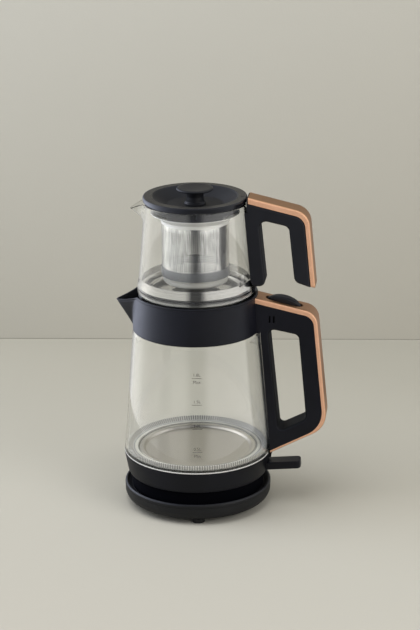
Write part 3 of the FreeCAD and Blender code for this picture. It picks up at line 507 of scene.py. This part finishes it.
finishes = {
    # satin ABS, polished tool with a light grain: broad soft reflections, blue-black
    "satinShell": mouldedPlastic("ABS, moulded satin black", blueBlack, rough=0.36, grain=0.7,
                                 shine=0.34),
    # the collar's spout is matt inside, and darkened there with painted shade
    "collarShell": mouldedPlastic("ABS, moulded satin black, matt with painted shade inside", blueBlack, rough=0.39,
                                  grain=0.7, shine=0.38, recess={"attribute": "inside"}),
    # the handles are polished on their side faces only: the grip's opening and the vents are left matt,
    # and darkened with painted shade
    "handleShell": mouldedPlastic("ABS, moulded satin black, matt grip with painted shade", blueBlack, rough=0.36,
                                  grain=0.7, shine=0.34, dull=0.7,
                                  recess={"middle": (95.0, 0.0, 150.0), "half": (60.0, 14.15, 110.0)}),
    # the base is a shade rougher, so its top stays dull; inside 74.5 mm its dish is duller still and
    # darkened with painted shade
    "baseShell": mouldedPlastic("polypropylene, moulded matt black", ("#0B0C10", "#101115"), rough=0.42,
                                grain=0.9, relief=0.1, shine=0.55, recess={"radii": (74.5, 78.0)}),
    # the lid is glossier, with reflections that keep an edge; its dish, inside 44 mm, is duller and
    # darkened with painted shade
    "lidShell": mouldedPlastic("polypropylene, moulded semi-gloss black", ("#0A0B10", "#0F1016"),
                               rough=0.24, relief=0.04, shine=0.52, smudge=0.04, dull=0.5,
                               recess={"radii": (44.0, 46.0)}),
    # the knob is handled, so its gloss is softer
    "knobShell": mouldedPlastic("polypropylene, moulded satin black", ("#08090D", "#0C0D12"),
                                rough=0.42, relief=0.06, shine=0.42),
    # the button is pressed daily: a fine even satin, a shade paler than the handle
    "buttonShell": mouldedPlastic("ABS, moulded fine satin black", ("#121215", "#17171B"), rough=0.4,
                                  relief=0.06, shine=0.4),
    # underneath, a rough dull black, its tone darkened almost to none with painted shade
    "coverShadeShell": mouldedPlastic("ABS, moulded rough black, painted shade", ("#020206", "#030409"), rough=0.9,
                                 grain=0.9, relief=0.1, shine=0.06),
    # the teapot's handle has a coarser grain, which spreads the light, and a shade paler tone; its
    # grip's opening is left matt and darkened with painted shade
    "gripShell": mouldedPlastic("ABS, moulded grained black", ("#0F1016", "#14151C"), rough=0.44,
                                grain=0.9, relief=0.1, shine=0.5, dull=0.7,
                                recess={"middle": (95.0, 0.0, 300.0), "half": (60.0, 12.4, 60.0)}),
    # heat-resisting inner parts: dull and greyer
    "innerShell": mouldedPlastic("PBT, moulded dull black", ("#1A1B1D", "#222325"), rough=0.5,
                                 relief=0.12),
    # strainer collar: dark grey, faintly translucent in life, so lighter than the lid
    "strainerShell": mouldedPlastic("polypropylene, moulded smoke grey", ("#26272C", "#303238"),
                                    rough=0.3),
    # warm, soft streaks across the strip; the outer face is a shade browner and the sides paler:
    # painted light and shade for how each faces the light
    "copperWide": workedMetal("aluminium, brushed and anodised rose gold, kettle",
                              ("#E9B384", "#F6C293"), 0.36, brushedAcross, spread=0.05, relief=0.03,
                              halfWidth=14.5),
    "copperNarrow": workedMetal("aluminium, brushed and anodised rose gold, teapot",
                                ("#E2AE7C", "#F0BD8B"), 0.36, brushedAcross, spread=0.05, relief=0.03,
                                halfWidth=12.75),
    "kettleGlass": blownGlass("borosilicate glass, blown, kettle", clearTones, waviness=0.03),
    "teapotGlass": blownGlass("borosilicate glass, blown, teapot", clearTones, waviness=0.03),
    # turned floor: fine rings, soft sheen
    "heatingSteel": workedMetal("stainless steel, turned", ("#C7C3BA", "#D5D1C9"), 0.3, (1.0, 0.2, 1.0),
                                grain=0.6, spread=0.03, relief=0.02, turned=True),
    # the pan mirrors what stands on it, with a slight haze
    "mirrorSteel": workedMetal("stainless steel, deep drawn and polished", ("#AFAEAA", "#BFBEBA"), 0.09,
                               drawnInRings, grain=1.5, spread=0.03, relief=0.02, turned=True),
    # the strainer's rim is pressed and brushed, only part metallic and near white, so it stays pale all
    # round: a painted reflection of a bright surround
    "rimSteel": workedMetal("stainless steel, pressed and brushed", ("#F0EFEA", "#F8F7F3"), 0.4,
                            drawnInRings, grain=1.0, spread=0.05, relief=0.03, turned=True,
                            metallic=0.35),
    # the cup is half metallic and pale, a painted reflection of a bright surround; between two heights,
    # where cup and mesh are rolled together, it is coloured as a dark band
    "cupSteel": workedMetal("stainless steel, deep drawn, with a dark band",
                            ("#E2E1DC", "#EFEEE9"), 0.3, drawnInRings, grain=1.5, spread=0.05,
                            relief=0.02, turned=True, metallic=0.5, band=(260.5, 275.0, "#787A7D")),
    # the foot ring is duller than the pan
    "footSteel": workedMetal("stainless steel, rolled strip", ("#83837F", "#969692"), 0.3, drawnInRings,
                             grain=1.2, spread=0.05, relief=0.03, turned=True),
    "meshSteel": etchedMesh("stainless steel, photo-etched mesh"),
    # inner metals: plain, with a trace of how they were plated, drawn, stamped or cast
    "screwSteel": workedMetal("steel, zinc plated", ("#A5A7A8", "#C2C4C5"), 0.28, (1.0, 1.0, 0.3),
                              spread=0.07, relief=0.05),
    "springSteel": workedMetal("spring steel, drawn wire", ("#86888A", "#A4A6A8"), 0.3,
                               (1.0, 1.0, 0.4)),
    "brass": workedMetal("brass, stamped", ("#B8924A", "#D0AC62"), 0.3, (1.0, 1.0, 0.4), spread=0.07),
    "aluminium": workedMetal("aluminium, cast", ("#A9AAAC", "#C5C6C8"), 0.45, (1.0, 1.0, 1.0),
                             grain=1.2, spread=0.08, relief=0.1),
    # rubbers are dull, from black to the clear bead, whose ribs are too faint to see
    "footRubber": ribbedRubber("rubber, moulded black", ("#1B1B1B", "#232323"), ribs=90, rough=0.75),
    "sealSilicone": ribbedRubber("silicone, moulded grey", ("#8B8C8C", "#B4B5B3"), rough=0.5),
    "panSilicone": ribbedRubber("silicone, moulded charcoal", ("#333334", "#434344"), rough=0.5),
    "seamSilicone": ribbedRubber("silicone, cast clear", ("#D2D2D0", "#DEDEDC"), rough=0.3),
    "clearSilicone": ribbedRubber("silicone, moulded pale", ("#BFC0BC", "#D2D3CE"), rough=0.45),
    # the plate's seal: ribbed against the glass, with pale smooth rings towards the plate
    "plateSilicone": ribbedRubber(
        "silicone, moulded grey, ribbed edge", ("#8B8A88", "#B4B3AD", "#D4D3CC"), ribs=180, rough=0.62,
        rings=[(64.0, "#A5A49C"), (65.2, "#8B8A83"), (66.2, "#D9D8CF"), (68.6, "#C9C8BF"),
               (69.6, "#77787B"), (70.6, "#D0D0CC"), (71.2, "#B0B0AC")]),
}

wearing = {
    "satinShell": ["lower_collar", "upper_collar", "switch_lever"],
    "handleShell": ["kettle_handle"],
    "coverShadeShell": ["kettle_bottom_cover"],
    "baseShell": ["base_bottom_cover", "base_top_shell", "cord_gland"],
    "lidShell": ["lid_cover", "handle_clip"],
    "buttonShell": ["lid_button"],
    "knobShell": ["knob_stem", "knob_disc"],
    "gripShell": ["teapot_handle"],
    "innerShell": ["base_socket", "terminal_block", "kettle_connector", "control_unit", "steam_tube",
                   "lid_latch", "steam_lid", "steam_lid_grip"],
    "strainerShell": ["strainer_ring"],
    "copperWide": ["kettle_handle_trim"],
    "copperNarrow": ["teapot_handle_trim"],
    "kettleGlass": ["kettle_glass"],
    "teapotGlass": ["teapot_glass"],
    "heatingSteel": ["heating_plate"],
    "mirrorSteel": ["teapot_base_pan"],
    "cupSteel": ["strainer_cup"],
    "footSteel": ["teapot_foot_ring"],
    "rimSteel": ["strainer_rim"],
    "meshSteel": ["strainer_mesh"],
    "screwSteel": ["base_screws", "bottom_screws", "handle_screws", "knob_screw", "lever_pin",
                   "element_terminals"],
    "springSteel": ["button_spring", "bimetal_disc", "heating_element"],
    "brass": ["base_contacts", "connector_pins"],
    "aluminium": ["heat_spreader"],
    "footRubber": ["base_feet"],
    "sealSilicone": ["lid_seal", "collar_seal", "steam_lid_seal"],
    "plateSilicone": ["plate_seal"],
    "clearSilicone": ["handle_pads", "glass_gasket"],
    "panSilicone": ["pan_seal"],
}

for finish, worn in wearing.items():
    for nodeName in worn:
        slots = nodes[nodeName].data.materials
        if len(slots) == 0:
            slots.append(finishes[finish])
        for index in range(len(slots)):
            slots[index] = finishes[finish]
missing = sorted(set(nodes) - {n for worn in wearing.values() for n in worn})
print("finishes given; without one:", missing)


# Surfaces.

cornerSteps = 4  # points on each rounded corner of an outline


def smoothStep(x):
    x = np.clip(x, 0.0, 1.0)
    return x * x * (3 - 2 * x)


# The larger of two, with a fillet of about that size where they cross.
def softMax(a, b, blend):
    return 0.5 * (a + b + np.sqrt((a - b) ** 2 + blend ** 2))


# Radius of a straight wall at height z, from the (radius, height) of its foot and its top.
def coneRadius(z, foot, top):
    return foot[0] + (top[0] - foot[0]) * (z - foot[1]) / (top[1] - foot[1])


# Radius of a wedge's sides, straight lines in plan: distance / cos(slant - turn), where a line lies at
# that distance from the axis and its normal slants so much. (turn^2 + blunt^2)^0.5 stands for the turn
# and rounds the tip. Past steepest the line runs away, and the caller leaves it.
def wedgeRadius(turn, distance, slant, blunt, steepest=1.3):
    off = slant - np.sqrt(turn ** 2 + blunt ** 2)
    return distance / np.cos(np.clip(off, -steepest, steepest))


# Closed outlines with each corner replaced by a parabola: loops (count, corners, 2), radii per corner.
# A point of it is (1-t)^2 A + 2t(1-t) P + t^2 B, where A and B lie one radius from the corner P, but no
# further than 0.45 of the way to the next corner.
def roundedLoops(loops, radii):
    ends = []
    for step in (1, -1):
        way = np.roll(loops, step, axis=1) - loops
        length = np.maximum(np.linalg.norm(way, axis=2, keepdims=True), 1e-9)
        reach = np.minimum(np.asarray(radii, float)[None, :, None], 0.45 * length)
        ends.append((loops + way / length * reach)[:, :, None])
    t = np.linspace(0, 1, cornerSteps)[None, None, :, None]
    curve = (1 - t) ** 2 * ends[0] + 2 * t * (1 - t) * loops[:, :, None] + t ** 2 * ends[1]
    return curve.reshape(len(loops), -1, 2)


# A skin from points (rows, columns, 3): each row closes on itself, and the rows close round or run from
# pole to pole. Coincident points are welded, faces turned outwards and the piece put on its body.
def addSkin(name, points, finish, body, sharpAngle, inside=None, poles=False):
    rows, columns = points.shape[:2]
    i, j = np.meshgrid(np.arange(rows - int(poles)), np.arange(columns), indexing="ij")
    nextI, nextJ = (i + 1) % rows, (j + 1) % columns
    faces = np.stack([i * columns + j, nextI * columns + j, nextI * columns + nextJ,
                      i * columns + nextJ], -1)
    mesh = bpy.data.meshes.new(name)
    mesh.vertices.add(rows * columns)
    mesh.vertices.foreach_set("co", np.ascontiguousarray(points, np.float32).ravel())
    mesh.loops.add(faces.size)
    mesh.loops.foreach_set("vertex_index", np.ascontiguousarray(faces, np.int32).ravel())
    mesh.polygons.add(faces.size // 4)
    mesh.polygons.foreach_set("loop_start", np.arange(0, faces.size, 4, dtype=np.int32))
    mesh.update(calc_edges=True)
    if inside is not None:
        told = mesh.attributes.new("inside", "FLOAT", "POINT").data
        told.foreach_set("value", np.ascontiguousarray(inside, np.float32).ravel())
    work = bmesh.new()
    work.from_mesh(mesh)
    bmesh.ops.remove_doubles(work, verts=work.verts, dist=1e-6)
    bmesh.ops.recalc_face_normals(work, faces=work.faces)
    work.to_mesh(mesh)
    work.free()
    mesh.validate()
    mesh.shade_smooth()
    mesh.set_sharp_from_angle(angle=math.radians(sharpAngle))
    mesh.materials.append(finishes[finish])
    piece = addObject(name, mesh)
    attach(piece, body)
    return piece


# Cuts a box, given by two corners in mm about the axis, out of a piece.
def cutBlock(piece, corners):
    low, high = (np.array(c) + np.array([axisX, 0, 0]) for c in corners)
    x, y, z = np.stack([low, high], axis=1) / 1000.0
    places = [(x[i], y[j], z[k]) for i in (0, 1) for j in (0, 1) for k in (0, 1)]
    mesh = bpy.data.meshes.new("cutter")
    mesh.from_pydata(places, [], [(0, 1, 3, 2), (4, 6, 7, 5), (0, 4, 5, 1), (2, 3, 7, 6), (0, 2, 6, 4),
                                  (1, 5, 7, 3)])
    cutter = addObject("cutter", mesh)
    step = piece.modifiers.new("way", "BOOLEAN")
    step.operation, step.solver, step.object = "DIFFERENCE", "EXACT", cutter
    bpy.context.view_layer.update()
    cut = bpy.data.meshes.new_from_object(piece.evaluated_get(bpy.context.evaluated_depsgraph_get()))
    piece.modifiers.clear()
    piece.data = cut
    bpy.data.objects.remove(cutter)


# Outlines (count, points, 2) of (radius, height) in mm, each stood at its angle about the axis.
def carried(outlines, angles):
    radius, height = outlines[..., 0], outlines[..., 1]
    turn = np.asarray(angles)[:, None]
    return np.stack([axisX + radius * np.cos(turn), radius * np.sin(turn), height], axis=-1) / 1000.0


# Angles round the axis in radians, fine steps within half degrees of facing and coarse ones elsewhere,
# and the size of each one's turn from facing, 0 to pi.
def turnsNear(facing, half, fine, coarse):
    near = np.arange(-half, half, fine)
    far = np.linspace(half, 360.0 - half, int((360 - 2 * half) / coarse) + 1)[:-1]
    angles = np.radians(facing + np.concatenate([near, far]))
    return angles, np.abs((angles - math.radians(facing) + math.pi) % (2 * math.pi) - math.pi)


# Kettle's upper collar with its spout.

collar = {
    "foot": (68.5, 199.2), "top": (66.6, 240.0),   # radius and height of the plain wall's ends
    "turns": (180.0, 42.0, 0.4, 2.0),              # degrees: the spout, its half, fine and coarse steps
    # the spout's sides, low and high: reach at the keel and half angle of the wedge
    "wedgeLow": (72.0, 59.7), "wedgeHigh": (90.15, 52.7), "wedgeFoot": 199.6, "wedgeTall": 29.0,
    "wedgeFlare": 2.0, "wedgeWithin": 0.9, "tipBlunt": 0.030,
    "filletNear": 8.0, "fillet": 1.4,              # where side and wall meet
    # each side of the rim is straight from above, and falls between two distances along the spout
    "planDistance": 63.0, "planSlant": 45.2, "dipFrom": 59.7, "dipTo": 86.8, "dipWithin": 0.5,
    "dipSag": 1.0, "tipZ": 228.9,
    "wallRows": 15, "wallTop": 2.9, "wallFootRound": 0.2,      # the wall ends that far below the rim,
    "groove": (2.5, 2.3, 1.7, 1.5), "grooveDepth": 0.4, "grooveRound": 0.15,   # and so lies the groove
    "rimWidth": 2.0, "rimRound": (1.4, 0.7), "wall": 2.6,
    # inner corners: radius and height, the same inside the spout's channel (None is a wall's thickness
    # in from the skin), and rounding
    "inner": [
        ((63.0, 236.0), (None, 230.0), 0.5), ((57.5, 236.0), (None, 224.0), 0.5),
        ((57.5, 226.0), (None, 217.4), 0.5), ((54.0, 226.0), (64.5, 217.4), 0.4),
        ((54.0, 222.3), (63.2, 217.4), 0.4), ((62.5, 219.2), (62.5, 217.4), 0.4),
    ],
    # the channel: half width at its foot, how it widens upwards and closes outwards, edge in degrees
    "channelHalf": 10.4, "channelFoot": 217.2, "channelFlare": 0.95, "channelEnd": 88.0,
    "channelTaper": 40.0, "channelEdge": 1.6,
    "neck": [(62.5, 215.6), (66.3, 215.6), (66.3, 202.4), (67.9, 199.2)], "neckRound": 0.2,
    "latchWay": ((45.0, -4.4, 226.05), (72.0, 4.4, 228.9)),  # the lid's latch slides here
}


# Outer radius of collar and spout together. The spout's side is a wedge whose reach grows with height;
# it and the plain cone are joined by a fillet.
def collarSkin(turn, z):
    (reachLow, angleLow), (reachHigh, angleHigh) = collar["wedgeLow"], collar["wedgeHigh"]
    share = (z - collar["wedgeFoot"]) / collar["wedgeTall"]
    reach = reachLow + (reachHigh - reachLow) * share
    reach = reach + collar["wedgeFlare"] * share * np.maximum(share - 1.0, 0.0)
    slant = np.radians(angleLow + (angleHigh - angleLow) * np.minimum(share, 1.0))
    wedge = wedgeRadius(turn, reach * np.cos(slant), slant, collar["tipBlunt"])
    wedge = np.where(turn < collar["wedgeWithin"], wedge, 0.0)
    plain = coneRadius(z, collar["foot"], collar["top"])
    joined = softMax(plain, wedge, collar["fillet"])
    return np.where(wedge > plain - collar["filletNear"], joined, plain)


# Profile loops (outer wall, rim, inner wall, ledges, neck) carried round. Along the spout the rim falls
# evenly to the tip's height and sags by sin(pi share) on the way, and the ledges open into a channel.
def addCollar():
    angles, turn = turnsNear(*collar["turns"])
    topZ = collar["top"][1]
    slant = math.radians(collar["planSlant"])
    plan = wedgeRadius(turn, collar["planDistance"], slant, collar["tipBlunt"])
    dip = (plan * np.cos(turn) - collar["dipFrom"]) / (collar["dipTo"] - collar["dipFrom"])
    dip = np.where(turn < collar["dipWithin"], np.clip(dip, 0, 1), 0.0)
    rimZ = topZ - (topZ - collar["tipZ"]) * dip - collar["dipSag"] * np.sin(math.pi * dip)
    footZ, share = collar["foot"][1], np.linspace(0.0, 1.0, collar["wallRows"])
    outerZ = footZ + (rimZ[:, None] - collar["wallTop"] - footZ) * share[None, :]
    outer = np.stack([collarSkin(turn[:, None], outerZ), outerZ], axis=-1)

    def skinAt(down, inset):
        return np.stack([collarSkin(turn, rimZ - down) - inset, rimZ - down], axis=-1)

    deep = collar["grooveDepth"]
    groove = [skinAt(down, inset) for down, inset in zip(collar["groove"], (0.0, deep, deep, 0.0))]
    rim = [skinAt(0.0, 0.0), skinAt(0.0, collar["rimWidth"])]
    corners, innerRound = [], []
    for (radius, height), (channelRadius, channelZ), rounding in collar["inner"]:
        half = collar["channelHalf"] + (height - collar["channelFoot"]) * collar["channelFlare"]
        half = half * np.clip((collar["channelEnd"] - radius) / collar["channelTaper"], 0, 1)
        reach = np.arcsin(np.clip(half / radius, 0, 0.9))
        opened = smoothStep((reach - turn) / math.radians(collar["channelEdge"]) + 0.5)
        z = np.minimum(channelZ, rimZ - 2.0)  # always below the rim
        r = collarSkin(turn, z) - collar["wall"] if channelRadius is None else channelRadius
        r, z = radius + (r - radius) * opened, height + (z - height) * opened
        corners.append(np.stack([r, z], axis=-1))
        innerRound.append(rounding)
    neck = [np.broadcast_to(np.array(corner), (len(turn), 2)) for corner in collar["neck"]]
    loops = np.concatenate([outer, np.stack(groove + rim + corners + neck, axis=1)], axis=1)
    radii = [collar["wallFootRound"]] + [0.0] * (len(share) - 1) + [collar["grooveRound"]] * 4
    radii += [*collar["rimRound"], *innerRound] + [collar["neckRound"]] * len(neck)
    outlines = roundedLoops(loops, radii)
    # matt and darkened with painted shade from the end of the rim's inner corner to the first corner of
    # the neck
    corner = np.arange(outlines.shape[1]) / cornerSteps
    first = len(share) + len(groove) + len(rim)
    inside = ((corner > first - 0.4) & (corner < first + len(corners) + 1)).astype(float)
    piece = addSkin("collar_with_spout", carried(outlines, angles), "collarShell", "kettle",
                    40.0, inside=np.broadcast_to(inside, outlines.shape[:2]))
    cutBlock(piece, collar["latchWay"])
    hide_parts("upper_collar")


addCollar()
print("collar made")


# Teapot's glass.

pot = {
    "foot": (60.9, 257.0), "rim": (54.0, 339.2), "wall": 2.3,   # radius and height of the wall's ends
    "turns": (180.0, 40.0, 0.5, 2.0),                # degrees: the lip, its half, fine and coarse steps
    "lipDistance": 44.6, "lipSlant": 53.1, "lipBlunt": 0.055, "lipWithin": 0.75, "lipFillet": 2.0,
    "lipZ": 330.4, "lipFall": 1.25,                    # how low its tip is, and how late the rim falls
    "lipFrom": 314.0, "lipPull": 2.1, "lipThins": 0.6,   # where the wall starts to follow, and how late
    "wallZ": [259.0, 285.0, 305.0, 313.0], "lipRowsFrom": 315.0, "lipRows": 12, "rimRound": 1.0,
    # the foot's corners: (radius, height), rounding
    "outside": [((60.5, 246.3), 0.3), ((61.95, 245.6), 0.5), ((61.95, 241.2), 0.4),
                ((62.8, 241.2), 0.4), ((62.8, 249.5), 2.5), ((60.9, 257.0), 1.2)],
    "inside": [((58.6, 257.5), 1.2), ((60.5, 249.0), 2.5)],
}


# Glass wall carried round: the rim is pulled out and down to a poured lip, a wedge in plan. At a height
# the wall follows it by ((z - lipFrom) / (rim - lipFrom))^lipPull.
def addPotGlass():
    angles, turn = turnsNear(*pot["turns"])
    rimRadius, topZ = pot["rim"]
    wedge = wedgeRadius(turn, pot["lipDistance"], math.radians(pot["lipSlant"]), pot["lipBlunt"])
    out = softMax(rimRadius, wedge, pot["lipFillet"]) - rimRadius
    out = np.where(turn < pot["lipWithin"], out, 0.0)
    share = out / out.max()
    rimZ = (topZ - (topZ - pot["lipZ"]) * share ** pot["lipFall"])[:, None]
    plainZ = np.broadcast_to(np.array(pot["wallZ"]), (len(turn), len(pot["wallZ"])))
    lipZ = pot["lipRowsFrom"] + (rimZ - pot["lipRowsFrom"]) * np.linspace(0, 1, pot["lipRows"])[None, :]
    heights = np.concatenate([plainZ, lipZ], axis=1)
    pulled = np.clip((heights - pot["lipFrom"]) / (rimZ - pot["lipFrom"]), 0, 1) ** pot["lipPull"]
    radius = coneRadius(heights, pot["foot"], pot["rim"]) + out[:, None] * pulled
    thick = pot["wall"] - pot["lipThins"] * share[:, None] * pulled
    outer = np.stack([radius, heights], axis=-1)
    inner = np.stack([radius - thick, heights], axis=-1)[:, ::-1]

    def foot(corners):
        places = np.array([place for place, rounding in corners])
        return np.broadcast_to(places, (len(turn), len(corners), 2))

    loops = np.concatenate([foot(pot["outside"]), outer, inner, foot(pot["inside"])], axis=1)
    smooth = [0.0] * (heights.shape[1] - 1)
    radii = [rounding for place, rounding in pot["outside"]] + smooth + [pot["rimRound"]] * 2 + smooth
    radii += [rounding for place, rounding in pot["inside"]]
    piece = addSkin("teapot_glass_with_lip", carried(roundedLoops(loops, radii), angles), "teapotGlass",
                    "teapot", 50.0)
    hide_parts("teapot_glass")


addPotGlass()
print("teapot glass made")


# Index line on the teapot's lid, which is turned to the handle.
indexLine = {"from": 48.6, "to": 53.2, "halfWidth": 0.55, "proud": 0.22, "lidTop": 345.8,
             "rows": 15, "around": 12}


# A bar with rounded ends and back: rows across it, each an ellipse whose size is (1 - t^6)^0.5 along
# the bar, t from -1 to 1.
def addIndexLine():
    t = np.linspace(-1, 1, indexLine["rows"])[:, None]
    size = np.sqrt(np.maximum(1 - t ** 6, 0.0))
    turn = np.linspace(0, 2 * math.pi, indexLine["around"], endpoint=False)[None, :]
    start, end = indexLine["from"], indexLine["to"]
    x = axisX + (start + end) / 2 + (end - start) / 2 * t + 0 * turn
    y = size * indexLine["halfWidth"] * np.cos(turn)
    z = indexLine["lidTop"] + size * indexLine["proud"] * np.sin(turn)
    addSkin("lid_index_line", np.stack([x, y, z], axis=-1) / 1000, "knobShell", "teapot_lid",
            60.0, poles=True)


addIndexLine()
print("index line made")


# Button on the kettle's handle: along and across the trim's slope, and up from its face.
button = {
    "centreAlong": 95.2, "centreUp": 231.116, "slope": math.radians(12.84),
    "half": (18.6, 6.2), "squareness": 2.5, "top": 5.9, "crown": 36.0, "edge": 2.0, "wallLow": -1.8,
    "skirtHalf": (13.6, 5.8), "skirtShift": 3.3, "skirtLow": -5.0,
    "springPocket": 4.1, "pocketTop": -1.6, "columns": 56, "crownRows": 20,
}


# Rows are the same rounded outline, |x/a|^n + |y/b|^n = 1, grown from the crown's middle to the edge:
# a crown of one radius along the button, rolled down at the edge by e(1 - (1 - s^2)^0.5), then down the
# wall, in to the skirt and up the spring's pocket.
def addButton():
    theta = np.linspace(0, 2 * math.pi, button["columns"], endpoint=False)
    ring = np.stack([np.cos(theta), np.sin(theta)], -1)
    ring = np.sign(ring) * np.abs(ring) ** (2.0 / button["squareness"])
    half, edge, arc = np.array(button["half"]), button["edge"], button["crown"]
    size = np.sin(np.linspace(0, math.pi / 2, button["crownRows"]))[:, None, None]
    crown = ring[None] * half * size
    roll = np.clip((size[..., 0] * half[1] - (half[1] - edge)) / edge, 0, 1)
    up = button["top"] - arc + np.sqrt(arc ** 2 - crown[..., 0] ** 2)
    up = up - edge * (1 - np.sqrt(1 - roll ** 2))
    rows = [np.concatenate([crown, up[..., None]], axis=-1)]
    skirt = (button["skirtShift"], 0.0), button["skirtHalf"]
    pocket = (0.0, 0.0), (button["springPocket"],) * 2
    for (middle, reach), height in [
        (((0.0, 0.0), half), button["wallLow"]), (skirt, button["wallLow"]),
        (skirt, button["skirtLow"]), (pocket, button["skirtLow"]), (pocket, button["pocketTop"]),
        (((0.0, 0.0), (0.0, 0.0)), button["pocketTop"]),
    ]:
        level = np.full(button["columns"], height)
        rows.append(np.column_stack([ring * np.array(reach) + np.array(middle), level])[None])
    along, across, up = np.moveaxis(np.concatenate(rows), -1, 0)
    cos, sin = math.cos(button["slope"]), math.sin(button["slope"])
    x = axisX + button["centreAlong"] + along * cos + up * sin
    z = button["centreUp"] - along * sin + up * cos
    piece = addSkin("lid_button_cap", np.stack([x, across, z], -1) / 1000, "buttonShell", "button",
                    40.0, poles=True)
    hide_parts("lid_button")


addButton()
print("button made")


# Bead of clear silicone that fills the seam between the kettle's glass and its lower collar, open where
# the handle's tongue sits.
seam = {"radius": 79.7, "height": 60.55, "thick": 0.42, "tall": 0.68, "openHalf": 7.5, "rows": 241,
        "around": 8}


# A tube round the axis, an ellipse in section, whose size is min(1, 100(1 - |t|))^0.5 along it, t from
# -1 to 1.
def addSeam():
    even = np.linspace(-1, 1, seam["rows"])
    t = np.sign(even) * (1 - (1 - np.abs(even)) ** 1.02)   # rows a little closer at the ends
    turns = math.pi + t * (math.pi - math.radians(seam["openHalf"]))
    size = np.sqrt(np.minimum(1.0, 100.0 * (1 - np.abs(t))))[:, None]
    around = np.linspace(0, 2 * math.pi, seam["around"], endpoint=False)[None, :]
    radius = seam["radius"] + size * seam["thick"] * np.cos(around)
    height = seam["height"] + size * seam["tall"] * np.sin(around)
    addSkin("glass_foot_bead", carried(np.stack([radius, height], -1), turns), "seamSilicone", "kettle",
            60.0, poles=True)


addSeam()
print("foot bead made")


# Level marks on the kettle's glass.

marks = {
    "facing": -82.7,                 # degrees about the axis, towards the front
    "rows": [(165.7, "1.8L", "Max"), (136.5, "1.5L", ""), (109.9, "1.0L", ""), (84.5, "0.5L", "Min")],
    "letter": 4.8, "clear": 2.0, "capShare": 0.8,   # text size, its gap to the line, its height by size
    "line": 10.5, "thick": 0.5, "lineSteps": 8, "proud": 0.06,
    "glassFoot": (80.0, 60.0), "glassTop": (68.75, 196.5),
}


# Screen-printed ceramic ink: matt warm grey, slightly uneven.
def inkMaterial():
    material, add = newMaterial("ceramic ink, screen printed")
    place = add("TexCoord")["Object"]
    uneven = add("TexNoise", {"Vector": place, "Scale": mm(0.6), "Detail": 2.0})["Fac"]
    tone = add("ValToRGB", {"Fac": uneven}, evenStops(("#4A4944", "#5E5C56")))[0]
    gloss = add("MapRange", {"Value": uneven, "To Min": 0.45, "To Max": 0.7})[0]
    ink = add("BsdfPrincipled", {"Base Color": tone, "Roughness": gloss})[0]
    add("OutputMaterial", {"Surface": ink})
    return material


# Places (count, 2) and faces of a word as flat shapes, centred on x = 0.
def flatWord(words):
    curve = bpy.data.curves.new("mark", "FONT")
    curve.body = words
    curve.size = marks["letter"]
    curve.align_x = "CENTER"
    curve.resolution_u = 3
    holder = addObject("mark", curve)
    bpy.context.view_layer.update()
    flat = bpy.data.meshes.new_from_object(holder.evaluated_get(bpy.context.evaluated_depsgraph_get()))
    bpy.data.objects.remove(holder)
    co = np.zeros(len(flat.vertices) * 3, np.float32)
    flat.vertices.foreach_get("co", co)
    return co.reshape(-1, 3)[:, :2], [list(polygon.vertices) for polygon in flat.polygons]


# Flat words and bars in (across, up) mm, bent on to the glass: turn = across / radius, and the radius
# comes from the height.
def addMarks():
    shapes = []
    wide = marks["lineSteps"] + 1
    across = np.linspace(-marks["line"] / 2, marks["line"] / 2, wide)
    barFaces = [[k, k + 1, k + wide + 1, k + wide] for k in range(marks["lineSteps"])]
    for height, above, below in marks["rows"]:
        belowBase = height - marks["clear"] - marks["letter"] * marks["capShare"]
        for words, base in ((above, height + marks["clear"]), (below, belowBase)):
            if words:
                places, wordFaces = flatWord(words)
                shapes.append((places + np.array([0.0, base]), wordFaces))
        levels = (np.full(wide, height + side * marks["thick"] / 2) for side in (-1, 1))
        shapes.append((np.concatenate([np.stack([across, level], -1) for level in levels]), barFaces))
    flat = np.concatenate([places for places, some in shapes])
    starts = np.cumsum([0] + [len(places) for places, some in shapes]).tolist()
    faces = [[start + corner for corner in face] for start, (places, some) in zip(starts, shapes)
             for face in some]
    radius = coneRadius(flat[:, 1], marks["glassFoot"], marks["glassTop"]) + marks["proud"]
    turn = math.radians(marks["facing"]) + flat[:, 0] / radius
    bent = np.stack([axisX + radius * np.cos(turn), radius * np.sin(turn), flat[:, 1]], -1) / 1000
    mesh = bpy.data.meshes.new("level_marks")
    mesh.from_pydata(bent.tolist(), [], faces)
    mesh.materials.append(inkMaterial())
    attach(addObject("level_marks", mesh), "kettle")


addMarks()
print("level marks made")
